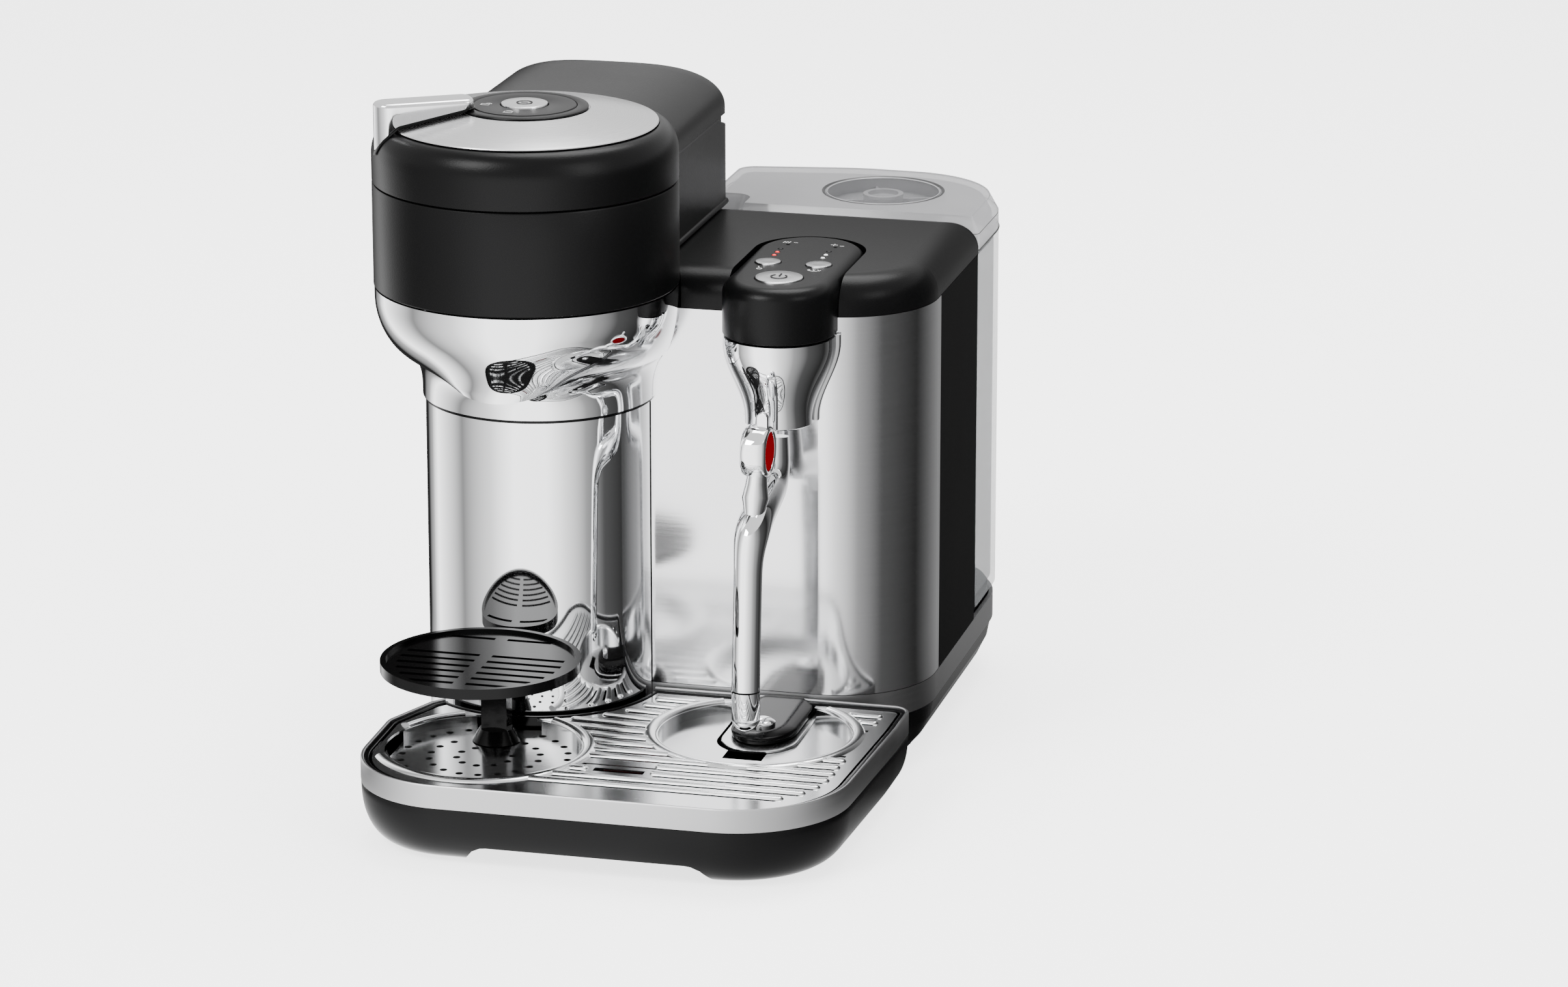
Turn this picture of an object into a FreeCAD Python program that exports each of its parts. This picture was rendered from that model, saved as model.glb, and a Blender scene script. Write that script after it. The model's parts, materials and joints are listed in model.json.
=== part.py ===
import FreeCAD, Part
import math
import os

# Pod coffee machine with a milk steam wand. All sizes are in millimetres.
# Origin: middle of the footprint on the table. +X is the machine's right, +Y its back, +Z up.

# Places of the main masses, as (x, y)
HEAD = (-55.5, -53.5)
COLUMN = (-55.5, -34.0)
STEAM_X = 63.1
STEAM_FRONT_Y = -40.2
STEAM_REAR_Y = 20.0
LEFT_DISH = (-54.1, -136.6)
RIGHT_DISH = (STEAM_X, -87.4)
CUP_REST = (-55.5, -136.0)
MOTOR = (-55.5, 40.0)
STALK_Y = -112.0

# Body outline
BODY_LEFT, BODY_RIGHT = -112.0, 127.5
PANEL_Y = -34.0
BULKHEAD_Y = 103.5
FRONT_CORNER_R = 47.0
SKIN = 1.6
GAP = 0.3

# Levels
PAN_BOTTOM = 3.0
BAND_BOTTOM, BAND_TOP = 28.0, 41.0
PLATFORM_TOP = 45.0
GRID_TOP = 38.0
PANEL_TOP = 227.0
COVER_TOP = 245.0
COLUMN_TOP = 181.8
BOWL_TOP = 240.5
HEAD_BOTTOM, HEAD_TOP = 241.0, 290.6
SEAM = 291.0
PIVOT_Z = 324.6
LEVER_TOP = 331.0

# Radii
COLUMN_R = 54.2
COLLAR_R = 55.6
HEAD_R = 71.8
DISC_R = 62.6
PIVOT_R = 29.8
BREW_BUTTON_R = 10.9
STEAM_R = 26.6
POWER_BUTTON_R = 11.3
MILK_BUTTON_R = 6.1
WAND_R = 6.7
DISH_R = 46.5

# Lid and hump behind the head
HUMP_HALF = 56.5
HUMP_REAR = 104.0
HUMP_CREST = 313.5
LID_HINGE_Y, LID_HINGE_Z = 97.0, 293.0
LID_BARREL_R = 7.0

# Lever
LEVER_ANGLE = 211.0
LEVER_IN, LEVER_OUT, LEVER_THICK = 24.6, 72.0, 15.0

# Buttons, as name: (x, y, radius, top level)
BUTTONS = {
    "brew_button": (HEAD[0], HEAD[1], BREW_BUTTON_R, 326.4),
    "power_button": (STEAM_X, STEAM_FRONT_Y, POWER_BUTTON_R, 247.0),
    "milk_temp_button": (STEAM_X - 12.3, -12.4, MILK_BUTTON_R, 247.0),
    "milk_foam_button": (STEAM_X + 12.3, -12.4, MILK_BUTTON_R, 247.0),
}
BUTTON_SKIN = 3.0
CAP_TOP = 246.3
CAP_BOTTOM = 220.0
LED_ROWS = (STEAM_X - 12.9, STEAM_X + 10.8)
LED_ROW_Y, LED_STEP = 2.0, 6.1

# Steam wand, as (y, z) of its bends, and its hinge
WAND_PATH = [(-44.6, 171.0), (-47.5, 150.0), (-97.0, 138.5), (-100.5, 100.0), (-103.5, 60.0)]
WAND_BEND_R = 11.0
WAND_HINGE = (-44.0, 178.0)
WAND_TIP_Z, WAND_JOINT_Z = 44.5, 64.0
KNOB = (-80.0, 173.5)
KNOB_R, KNOB_WIDTH = 12.6, 12.4

# Outlines, as (x, y, corner radius), counter-clockwise
BODY_PLAN = [(BODY_LEFT, PANEL_Y, 6), (BODY_RIGHT, PANEL_Y, FRONT_CORNER_R),
             (BODY_RIGHT, BULKHEAD_Y, 1.2), (BODY_LEFT, BULKHEAD_Y, 1.2)]
BASE_PLAN = [(BODY_LEFT, PANEL_Y, 6), (BODY_RIGHT, PANEL_Y, FRONT_CORNER_R),
             (BODY_RIGHT, 196.0, 56), (BODY_LEFT, 192.0, 42)]
TANK_PLAN = [(3.0, 104.6, 4), (BODY_RIGHT, 104.6, 3), (BODY_RIGHT, 198.5, 54),
             (46.0, 201.2, 110), (-18.0, 190.0, 14), (-18.0, 123.0, 6), (3.0, 123.0, 4)]
BIN_PLAN = [(-110.0, 105.0, 4), (-20.0, 105.0, 4), (-20.0, 190.0, 12), (-110.0, 190.0, 40)]
TRAY_PLAN = [(-108.4, -114.0, 14), (-106.0, -199.6, 48), (122.0, -200.2, 54),
             (127.4, -70.0, 180), (127.4, -36.2, 9), (-60.0, -36.2, 1), (-97.0, -84.0, 3)]


def V(x, y, z):
    return FreeCAD.Vector(x, y, z)


def unit(a, b):
    length = math.hypot(b[0] - a[0], b[1] - a[1])
    return ((b[0] - a[0]) / length, (b[1] - a[1]) / length)


def inset_outline(corners, inset):
    # Moves every edge of a counter-clockwise outline inward and shrinks its corner radii
    lines = []
    for i, corner in enumerate(corners):
        after = corners[(i + 1) % len(corners)]
        ux, uy = unit(corner, after)
        lines.append((corner[0] - uy * inset, corner[1] + ux * inset, ux, uy))
    moved = []
    for i, corner in enumerate(corners):
        ax, ay, aux, auy = lines[i - 1]
        bx, by, bux, buy = lines[i]
        cross = aux * buy - auy * bux
        step = ((bx - ax) * buy - (by - ay) * bux) / cross
        shrink = inset if cross > 0 else -inset
        moved.append((ax + aux * step, ay + auy * step, max(corner[2] - shrink, 0.6)))
    return moved


def outline_wire(corners, z):
    # A closed wire of straight edges joined by tangent arcs
    edges = []
    joints = []
    for i, corner in enumerate(corners):
        before, after = corners[i - 1], corners[(i + 1) % len(corners)]
        ux, uy = unit(corner, before)
        wx, wy = unit(corner, after)
        half = math.acos(max(-1.0, min(1.0, ux * wx + uy * wy))) / 2
        reach = corner[2] / math.tan(half)
        bx, by = ux + wx, uy + wy
        size = math.hypot(bx, by)
        to_mid = corner[2] / math.sin(half) - corner[2]
        start = V(corner[0] + ux * reach, corner[1] + uy * reach, z)
        middle = V(corner[0] + bx / size * to_mid, corner[1] + by / size * to_mid, z)
        end = V(corner[0] + wx * reach, corner[1] + wy * reach, z)
        joints.append((start, middle, end))
    for i, (start, middle, end) in enumerate(joints):
        edges.append(Part.Arc(start, middle, end).toShape())
        following = joints[(i + 1) % len(joints)][0]
        if end.distanceToPoint(following) > 1e-6:
            edges.append(Part.LineSegment(end, following).toShape())
    return Part.Wire(edges)


def prism(corners, z0, z1, inset=0.0):
    wire = outline_wire(inset_outline(corners, inset) if inset else corners, z0)
    return Part.Face(wire).extrude(V(0, 0, z1 - z0))


def tapered(corners, levels):
    # A solid through insets of one outline at several levels, as (z, inset)
    wires = [outline_wire(inset_outline(corners, inset), z) for z, inset in levels]
    return Part.makeLoft(wires, True, True)


def box(x0, x1, y0, y1, z0, z1):
    return Part.makeBox(x1 - x0, y1 - y0, z1 - z0, V(x0, y0, z0))


def cyl(center, r, z0, z1):
    return Part.makeCylinder(r, z1 - z0, V(center[0], center[1], z0), V(0, 0, 1))


def ring(center, r_out, r_in, z0, z1):
    return cyl(center, r_out, z0, z1).cut(cyl(center, r_in, z0 - 1, z1 + 1))


def cyl_x(y, z, r, x0, x1):
    return Part.makeCylinder(r, x1 - x0, V(x0, y, z), V(1, 0, 0))


def revolved(center, profile):
    # Turns a closed outline of (radius, z) points about the vertical line through center
    points = [V(center[0] + r, center[1], z) for r, z in profile]
    face = Part.Face(Part.makePolygon(points + [points[0]]))
    return face.revolve(V(center[0], center[1], 0), V(0, 0, 1), 360)


def stadium(x, y0, y1, r, z):
    # Two half circles of radius r, centred at y0 (front) and y1 (rear)
    return Part.Wire([
        Part.Arc(V(x - r, y0, z), V(x, y0 - r, z), V(x + r, y0, z)).toShape(),
        Part.LineSegment(V(x + r, y0, z), V(x + r, y1, z)).toShape(),
        Part.Arc(V(x + r, y1, z), V(x, y1 + r, z), V(x - r, y1, z)).toShape(),
        Part.LineSegment(V(x - r, y1, z), V(x - r, y0, z)).toShape(),
    ])


def stadium_prism(x, y0, y1, r, z0, z1):
    return Part.Face(stadium(x, y0, y1, r, z0)).extrude(V(0, 0, z1 - z0))


def d_wire(x, y_front, y_back, r, z):
    # A half circle at the front with straight sides back to y_back
    return Part.Wire([
        Part.Arc(V(x - r, y_front, z), V(x, y_front - r, z), V(x + r, y_front, z)).toShape(),
        Part.LineSegment(V(x + r, y_front, z), V(x + r, y_back, z)).toShape(),
        Part.LineSegment(V(x + r, y_back, z), V(x - r, y_back, z)).toShape(),
        Part.LineSegment(V(x - r, y_back, z), V(x - r, y_front, z)).toShape(),
    ])


def bent_wire(points, radius):
    # Straight runs in the plane x = STEAM_X joined by tangent arcs; points are (y, z)
    edges = []
    last = V(STEAM_X, *points[0])
    for i in range(1, len(points) - 1):
        here = points[i]
        uy, uz = unit(here, points[i - 1])
        wy, wz = unit(here, points[i + 1])
        half = math.acos(uy * wy + uz * wz) / 2
        reach = radius / math.tan(half)
        size = math.hypot(uy + wy, uz + wz)
        to_mid = radius / math.sin(half) - radius
        start = V(STEAM_X, here[0] + uy * reach, here[1] + uz * reach)
        middle = V(STEAM_X, here[0] + (uy + wy) / size * to_mid, here[1] + (uz + wz) / size * to_mid)
        end = V(STEAM_X, here[0] + wy * reach, here[1] + wz * reach)
        edges.append(Part.LineSegment(last, start).toShape())
        edges.append(Part.Arc(start, middle, end).toShape())
        last = end
    edges.append(Part.LineSegment(last, V(STEAM_X, *points[-1])).toShape())
    return Part.Wire(edges)


def rounded_top(solid, top, radius, skip_rear=False):
    # Rounds the outer edge at the top, leaving the edge along the bulkhead sharp when asked
    edges = []
    for edge in solid.Edges:
        bounds = edge.BoundBox
        flat_top = abs(bounds.ZMin - top) < 1e-4 and abs(bounds.ZMax - top) < 1e-4
        rear = bounds.YMin > BULKHEAD_Y - 3
        if flat_top and not (skip_rear and rear):
            edges.append(edge)
    return solid.makeFillet(radius, edges)


def group(shapes):
    return Part.makeCompound(shapes)


# ---- base -------------------------------------------------------------------------------

PAN_LEVELS = [(PAN_BOTTOM, 13.0), (10.0, 7.0), (19.0, 2.6), (BAND_BOTTOM, 0.8)]
FEET = [(-84.0, 166.0), (96.0, 160.0), (104.0, 24.0), (-88.0, 2.0)]
CORD_EXIT = (-40.0, 17.0)
CORD_BORE_R = 3.6
SCREWS = [(-60.0, 20.0), (20.0, 20.0), (84.0, 70.0), (-60.0, 120.0), (20.0, 120.0), (60.0, 170.0)]


def base_pan():
    # Black lower tub that carries the whole machine, open at the top, and the plinth of the column
    outer = tapered(BASE_PLAN, PAN_LEVELS)
    plinth = cyl(COLUMN, COLUMN_R - 4, PAN_BOTTOM + 1, BAND_BOTTOM).cut(outer)
    hollow = tapered(BASE_PLAN, [(PAN_BOTTOM + 3, 15.5), (BAND_BOTTOM + 1, 3.4)])
    pan = outer.cut(hollow)
    side_arch = box(BODY_LEFT - 1, BODY_RIGHT + 1, 62, 128, -1, PAN_BOTTOM + 1.4)
    pan = pan.cut(side_arch)
    for foot in FEET:
        pan = pan.cut(cyl(foot, 9.3, -1, PAN_BOTTOM + 1.2))
    for screw in SCREWS:
        boss = cyl(screw, 5.0, PAN_BOTTOM + 2.5, 24)
        head_hole = cyl(screw, 3.9, -1, 12)
        pan = pan.fuse(boss).cut(head_hole).cut(cyl(screw, 1.6, 11, 25))
    pan = pan.cut(Part.makeCylinder(5.6, 30, V(CORD_EXIT[0], 170, CORD_EXIT[1]), V(0, 1, 0)))
    return group([pan, plinth])


def base_band():
    # Bright trim band round the body, level with the one on the drip tray
    band = prism(BASE_PLAN, BAND_BOTTOM + 0.2, BAND_TOP).cut(
        prism(BASE_PLAN, BAND_BOTTOM - 1, BAND_TOP + 1, 2.0))
    return band.cut(cyl(COLUMN, COLUMN_R + 0.2, 0, 60))


def platform():
    # Floor of the body; its rear half is the shelf under the tank and the capsule bin
    plate = prism(BASE_PLAN, BAND_TOP + 0.2, PLATFORM_TOP, 2.8)
    plate = plate.cut(cyl(COLUMN, COLUMN_R + 0.2, 0, 60))
    plate = plate.cut(cyl((58.0, 150.0), 13.2, 0, 60))
    pillars = [cyl(screw, 4.4, 24.2, BAND_TOP + 0.2).cut(cyl(screw, 1.3, 20, 36)) for screw in SCREWS]
    return group([plate] + pillars)


def rubber_feet():
    return group([cyl(foot, 9.0, 0, PAN_BOTTOM + 1.0) for foot in FEET])


def base_screws():
    screws = []
    for spot in SCREWS:
        slot = box(spot[0] - 2.6, spot[0] + 2.6, spot[1] - 0.5, spot[1] + 0.5, 7, 8.6)
        screws.append(cyl(spot, 3.6, 7.6, 11.9).fuse(cyl(spot, 1.25, 11.8, 35)).cut(slot))
    return group(screws)


def cord_inlet():
    # Moulded gland in the rear of the tub where the mains lead would enter
    axis = V(0, 1, 0)
    x, z = CORD_EXIT
    flange = Part.makeCylinder(8.0, 10, V(x, 182.6, z), axis).cut(tapered(BASE_PLAN, PAN_LEVELS))
    gland = Part.makeCylinder(5.4, 18, V(x, 174, z), axis).fuse(flange)
    return gland.cut(Part.makeCylinder(CORD_BORE_R, 40, V(x, 160, z), axis))


# ---- body -------------------------------------------------------------------------------

STRIP_Y = 20.0


def body_ring(z0, z1, skin=SKIN):
    return prism(BODY_PLAN, z0, z1).cut(prism(BODY_PLAN, z0 - 1, z1 + 1, skin))


def front_panel():
    # Bright sheet across the front, round the right corner and along the side
    wall = body_ring(BAND_TOP + 0.3, PANEL_TOP)
    wall = wall.cut(box(-200, 200, STRIP_Y - 0.2, 200, 0, 400))
    wall = wall.cut(box(-200, COLUMN[0], -200, 200, 0, 400))
    return wall.cut(cyl(COLUMN, COLUMN_R + 0.4, 0, 400))


def side_panel_right():
    wall = body_ring(BAND_TOP + 0.3, PANEL_TOP, 2.4)
    return wall.common(box(100, 140, STRIP_Y, BULKHEAD_Y - 3.6, 0, 400))


def side_panel_left():
    wall = body_ring(BAND_TOP + 0.3, PANEL_TOP, 2.4)
    wall = wall.common(box(-120, -100, -60, BULKHEAD_Y - 3.6, 0, 400))
    return wall.cut(cyl(COLUMN, COLUMN_R + 0.4, 0, 400))


def bulkhead():
    # Wall between the works and the rear bay, with a hole for the tank's water way
    return box(BODY_LEFT + 0.4, BODY_RIGHT - 0.4, BULKHEAD_Y - 3.4, BULKHEAD_Y, PLATFORM_TOP, PANEL_TOP)


def top_cover():
    # Black cover with broad rounded front and side edges, cut out round the head and the steam head
    def cover(inset, top, radius):
        solid = prism(BODY_PLAN, PANEL_TOP + GAP, top, inset)
        return rounded_top(solid, top, radius, True)
    shell = cover(0, COVER_TOP, 15).cut(cover(2.6, COVER_TOP - 2.6, 12.4))
    shell = shell.cut(cyl(HEAD, HEAD_R + 0.5, 200, 300)).cut(cyl(MOTOR, 8.0, 230, 250))
    return shell.cut(stadium_prism(STEAM_X, STEAM_FRONT_Y, STEAM_REAR_Y, STEAM_R + 0.3, 200, 300))


# ---- column and head --------------------------------------------------------------------

def column_tube():
    tube = ring(COLUMN, COLUMN_R, COLUMN_R - 1.8, BAND_BOTTOM + 0.4, COLUMN_TOP - 0.6)
    return tube.cut(box(-200, 200, PANEL_Y + 4, 100, 0, 400))


def column_collar():
    # Dark joint line between the column and the neck of the bowl
    collar = ring(COLUMN, COLLAR_R - 0.8, COLUMN_R - 3, COLUMN_TOP - 0.6, COLUMN_TOP + 0.8)
    return collar.cut(box(-200, 200, PANEL_Y - 0.4, 100, 0, 400))


BOWL_PROFILE = [(0, 208.0), (50, 208.0), (60, 211.5), (66.5, 217.5), (70.0, 225.0),
                (71.2, 232.0), (71.4, BOWL_TOP), (0, BOWL_TOP)]
BOWL_HOLLOW = [(0, 215.0), (46, 215.0), (57, 218.0), (63.5, 222.5), (67.5, 229.0),
               (68.6, 234.0), (68.8, BOWL_TOP + 1), (0, BOWL_TOP + 1)]
SPOUT = (HEAD[0], -108.0)


def brew_bowl():
    # Chrome bowl under the head that narrows to the column and to a pouring lip
    outer = revolved(HEAD, BOWL_PROFILE)
    neck_levels = [(COLUMN_TOP + 1.0, 55.4, 0), (196.0, 55.6, -1), (204.0, 58.5, -5), (214.0, 64.5, -14)]
    neck = Part.makeLoft([Part.Wire(Part.makeCircle(r, V(COLUMN[0], COLUMN[1] + dy, z)))
                          for z, r, dy in neck_levels], True, False)
    lip = Part.makeLoft([Part.Wire(Part.makeCircle(r, V(SPOUT[0], SPOUT[1] + dy, z)))
                         for z, r, dy in [(196.0, 7, 0), (202.0, 13, 3), (209.0, 23, 9), (216.0, 34, 18)]],
                        True, False)
    bowl = outer.fuse(neck).fuse(lip).removeSplitter()
    bowl = bowl.cut(revolved(HEAD, BOWL_HOLLOW))
    bowl = bowl.cut(cyl(COLUMN, 50.0, COLUMN_TOP, 206))
    bowl = bowl.cut(cyl(SPOUT, 4.0, 190, 240))
    body = box(BODY_LEFT - 0.4, 200, PANEL_Y - 0.4, 200, 0, PANEL_TOP + 0.2)
    cover = box(BODY_LEFT - 0.4, 200, PANEL_Y + 4, 200, PANEL_TOP, 300)
    return bowl.cut(body).cut(cover)


def hump_section(half, crest, shoulder_z, z0):
    # Arch across the hump, as a closed wire in the plane y = HEAD[1]
    x, y = HEAD
    inner = half - 11.0
    shoulder_top = crest - 3.4
    p = [V(x + half, y, z0), V(x + half, y, shoulder_z), V(x + inner, y, shoulder_top),
         V(x - inner, y, shoulder_top), V(x - half, y, shoulder_z), V(x - half, y, z0)]
    bulge = V(x + half - 2.9, y, shoulder_z + (shoulder_top - shoulder_z) * 0.72)
    mirror = V(2 * x - bulge.x, y, bulge.z)
    return Part.Wire([
        Part.LineSegment(p[0], p[1]).toShape(),
        Part.Arc(p[1], bulge, p[2]).toShape(),
        Part.Arc(p[2], V(x, y, crest), p[3]).toShape(),
        Part.Arc(p[3], mirror, p[4]).toShape(),
        Part.LineSegment(p[4], p[5]).toShape(),
        Part.LineSegment(p[5], p[0]).toShape(),
    ])


EAR_THICK = 4.0


def head_housing():
    # Black band round the head, running back as the two walls and the rear of the hump
    def keyhole(inset, z0, z1, z_hump):
        drum = cyl(HEAD, HEAD_R - inset, z0, z1)
        block = box(HEAD[0] - HUMP_HALF + inset, HEAD[0] + HUMP_HALF - inset,
                    HEAD[1], HUMP_REAR - inset, z_hump, z1)
        return drum.fuse(block)
    walls = keyhole(0, HEAD_BOTTOM, HEAD_TOP, COVER_TOP + GAP)
    walls = walls.cut(keyhole(2.6, HEAD_BOTTOM + 2.4, HEAD_TOP + 1, COVER_TOP + GAP + 2.4))
    walls = walls.cut(cyl(HEAD, 45.0, HEAD_BOTTOM - 1, HEAD_BOTTOM + 4))
    walls = walls.cut(cyl(MOTOR, 8.0, COVER_TOP - 1, COVER_TOP + 4))
    barrel_room = cyl_x(LID_HINGE_Y, LID_HINGE_Z, LID_BARREL_R + 1.2, HEAD[0] - 70, HEAD[0] + 70)
    walls = walls.cut(barrel_room)
    ears = []
    for x0 in hinge_ear_starts():
        ear = box(x0, x0 + EAR_THICK, LID_HINGE_Y - 6, HUMP_REAR - 1, 262, LID_HINGE_Z)
        ear = ear.fuse(cyl_x(LID_HINGE_Y, LID_HINGE_Z, 5.0, x0, x0 + EAR_THICK))
        ears.append(ear.cut(cyl_x(LID_HINGE_Y, LID_HINGE_Z, 2.1, x0 - 1, x0 + EAR_THICK + 1)))
    for ear in ears:
        walls = walls.fuse(ear)
    return walls


def hinge_ear_starts():
    # Left faces of the two upright ears that hold the lid's hinge pin
    return [HEAD[0] + side * 49.0 - EAR_THICK / 2 for side in (-1, 1)]


def lid_hinge_pin():
    return cyl_x(LID_HINGE_Y, LID_HINGE_Z, 2.05, HEAD[0] - 52.5, HEAD[0] + 52.5)


def chamber_deck():
    # Ring-shaped deck inside the head that surrounds the capsule seat
    deck = ring(HEAD, HEAD_R - 2.8, 36.6, 284.0, 286.4)
    wall = ring(HEAD, 39.4, 36.6, 247.0, 285.0)
    return deck.fuse(wall)


def rotor_bearing():
    return ring(HEAD, 30.0, 20.05, 236.0, 243.4).fuse(ring(HEAD, 47.6, 29.0, 238.6, 240.8))


# ---- capsule drive ----------------------------------------------------------------------

ROTOR_PULLEY_R, MOTOR_PULLEY_R = 27.0, 9.0
BELT_Z = (228.0, 233.0)


def capsule_seat():
    # Cup that grips the capsule by its rim and spins with it
    outer = [(0, 248.0), (27, 248.0), (33.5, 262.0), (34.2, 283.0), (35.8, 284.5), (35.8, 287.6),
             (0, 287.6)]
    inner = [(0, 251.0), (23, 251.0), (28.5, 263.0), (30.4, 285.4), (31.6, 288.6), (0, 288.6)]
    seat = revolved(HEAD, outer).cut(revolved(HEAD, inner))
    hub = cyl(HEAD, 19.95, 226.5, 248.5).cut(cyl(HEAD, 6.0, 220, 260))
    return seat.fuse(hub).cut(cyl(HEAD, 6.0, 220, 260))


def pulley(center, r, z0, z1, bore):
    flanges = cyl(center, r + 1.6, z0, z0 + 1.0).fuse(cyl(center, r + 1.6, z1 - 1.0, z1))
    return cyl(center, r, z0, z1).fuse(flanges).cut(cyl(center, bore, z0 - 1, z1 + 1))


def rotor_pulley():
    return pulley(HEAD, ROTOR_PULLEY_R, BELT_Z[0] - 1.4, BELT_Z[1] + 1.4, 20.0)


def motor_pulley():
    wheel = pulley(MOTOR, MOTOR_PULLEY_R, BELT_Z[0] - 1.4, BELT_Z[1] + 1.4, 2.5)
    return wheel.fuse(cyl(MOTOR, 2.5, BELT_Z[0] - 6, 258.0))


def drive_belt():
    def loop(extra):
        span = MOTOR[1] - HEAD[1]
        lean = math.asin((ROTOR_PULLEY_R - MOTOR_PULLEY_R) / span)
        big, small = ROTOR_PULLEY_R + extra, MOTOR_PULLEY_R + extra
        c, s = math.cos(lean), math.sin(lean)
        x, z = HEAD[0], BELT_Z[0]
        y_big, y_small = HEAD[1] + big * s, MOTOR[1] + small * s
        right_big, right_small = V(x + big * c, y_big, z), V(x + small * c, y_small, z)
        left_big, left_small = V(x - big * c, y_big, z), V(x - small * c, y_small, z)
        wire = Part.Wire([
            Part.Arc(left_big, V(x, HEAD[1] - big, z), right_big).toShape(),
            Part.LineSegment(right_big, right_small).toShape(),
            Part.Arc(right_small, V(x, MOTOR[1] + small, z), left_small).toShape(),
            Part.LineSegment(left_small, left_big).toShape(),
        ])
        return Part.Face(wire).extrude(V(0, 0, BELT_Z[1] - BELT_Z[0]))
    return loop(1.5).cut(loop(0.3))


def spin_motor():
    motor = cyl(MOTOR, 20.0, 259.0, 284.0).cut(cyl(MOTOR, 2.6, 250, 280))
    flange = cyl(MOTOR, 30.0, 250.0, 252.4).cut(cyl(MOTOR, 6.0, 249, 253))
    posts = [cyl((MOTOR[0] + 24 * math.cos(a), MOTOR[1] + 24 * math.sin(a)), 3.0, 247.7, 251)
             for a in (0.8, 2.3, 3.9, 5.5)]
    motor = motor.fuse(ring(MOTOR, 20.0, 6.0, 252.0, 259.5)).fuse(flange)
    for post in posts:
        motor = motor.fuse(post)
    return motor


# ---- lid --------------------------------------------------------------------------------

LID_PROFILE = [(0, SEAM), (HEAD_R, SEAM), (HEAD_R, 303.5), (71.0, 308.5), (69.0, 312.6),
               (66.0, 315.7), (DISC_R, 317.0), (0, 317.0)]
LID_HOLLOW = [(0, SEAM - 1), (69.0, SEAM - 1), (69.0, 303.0), (66.5, 309.0), (62.0, 312.6),
              (58.0, 313.6), (0, 313.6)]


def lid_shell():
    # Black lid ring with a rounded shoulder, joined to the arched cover of the hump
    outer = revolved(HEAD, LID_PROFILE)
    arch = Part.Face(hump_section(HUMP_HALF, HUMP_CREST, 299.0, SEAM)).extrude(V(0, HUMP_REAR - HEAD[1], 0))
    arch_room = Part.Face(hump_section(HUMP_HALF - 2.6, HUMP_CREST - 2.6, 298.0, SEAM - 1))
    arch_room = arch_room.extrude(V(0, HUMP_REAR - HEAD[1] - 2.6, 0))
    shell = outer.fuse(arch).cut(revolved(HEAD, LID_HOLLOW)).cut(arch_room)
    clear_rear = box(-200, 100, LID_HINGE_Y, LID_HINGE_Y + 40, SEAM - 2, LID_HINGE_Z)
    shell = shell.cut(clear_rear)
    barrel = cyl_x(LID_HINGE_Y, LID_HINGE_Z, LID_BARREL_R, HEAD[0] - 46.5, HEAD[0] + 46.5)
    shell = shell.fuse(barrel).cut(cyl(HEAD, 27.0, 305, 325))
    for x0 in hinge_ear_starts():
        shell = shell.cut(box(x0 - 0.5, x0 + EAR_THICK + 0.5, LID_HINGE_Y - 10, HUMP_REAR + 1, 286, 301))
    return shell.cut(cyl_x(LID_HINGE_Y, LID_HINGE_Z, 2.1, HEAD[0] - 60, HEAD[0] + 60))


def lid_disc():
    # Bright shallow cone on top of the lid
    cone = revolved(HEAD, [(27.0, 322.6), (DISC_R - 0.4, 317.2), (DISC_R, 317.6), (DISC_R - 1.2, 318.2),
                           (PIVOT_R + 0.8, 324.2), (27.0, 324.2)])
    foot = [(DISC_R - 8, 317.05), (DISC_R - 2, 317.05), (DISC_R - 2, 318.0), (DISC_R - 8, 318.8)]
    return cone.fuse(revolved(HEAD, foot))


def pivot_disc():
    # Fixed centre of the lid with the brew button's hole
    disc = ring(HEAD, 24.2, BREW_BUTTON_R + 0.3, PIVOT_Z - 2.2, PIVOT_Z + 0.9)
    well = ring(HEAD, 16.0, 13.4, 313.0, PIVOT_Z - 2.0)
    floor = cyl(HEAD, 26.4, 312.2, 314.0)
    return disc.fuse(well).fuse(floor)


def sealing_plate():
    # Plate under the lid that closes and pierces the capsule
    plate = revolved(HEAD, [(0, 292.4), (30, 292.4), (33, 295.0), (33, 300.0), (20, 312.0), (0, 312.0)])
    spike_ring = [cyl((HEAD[0] + 20 * math.cos(a), HEAD[1] + 20 * math.sin(a)), 1.4, 289.6, 293.0)
                  for a in [math.radians(30 * i) for i in range(12)]]
    plate = plate.fuse(Part.makeCone(1.2, 3.2, 6.0, V(HEAD[0], HEAD[1], 286.8), V(0, 0, 1)))
    for spike in spike_ring:
        plate = plate.fuse(spike)
    return plate


def lever_ring():
    # Dark turning ring round the pivot disc that carries the lever
    return ring(HEAD, PIVOT_R, 24.6, PIVOT_Z - 0.3, PIVOT_Z + 0.7)


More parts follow.
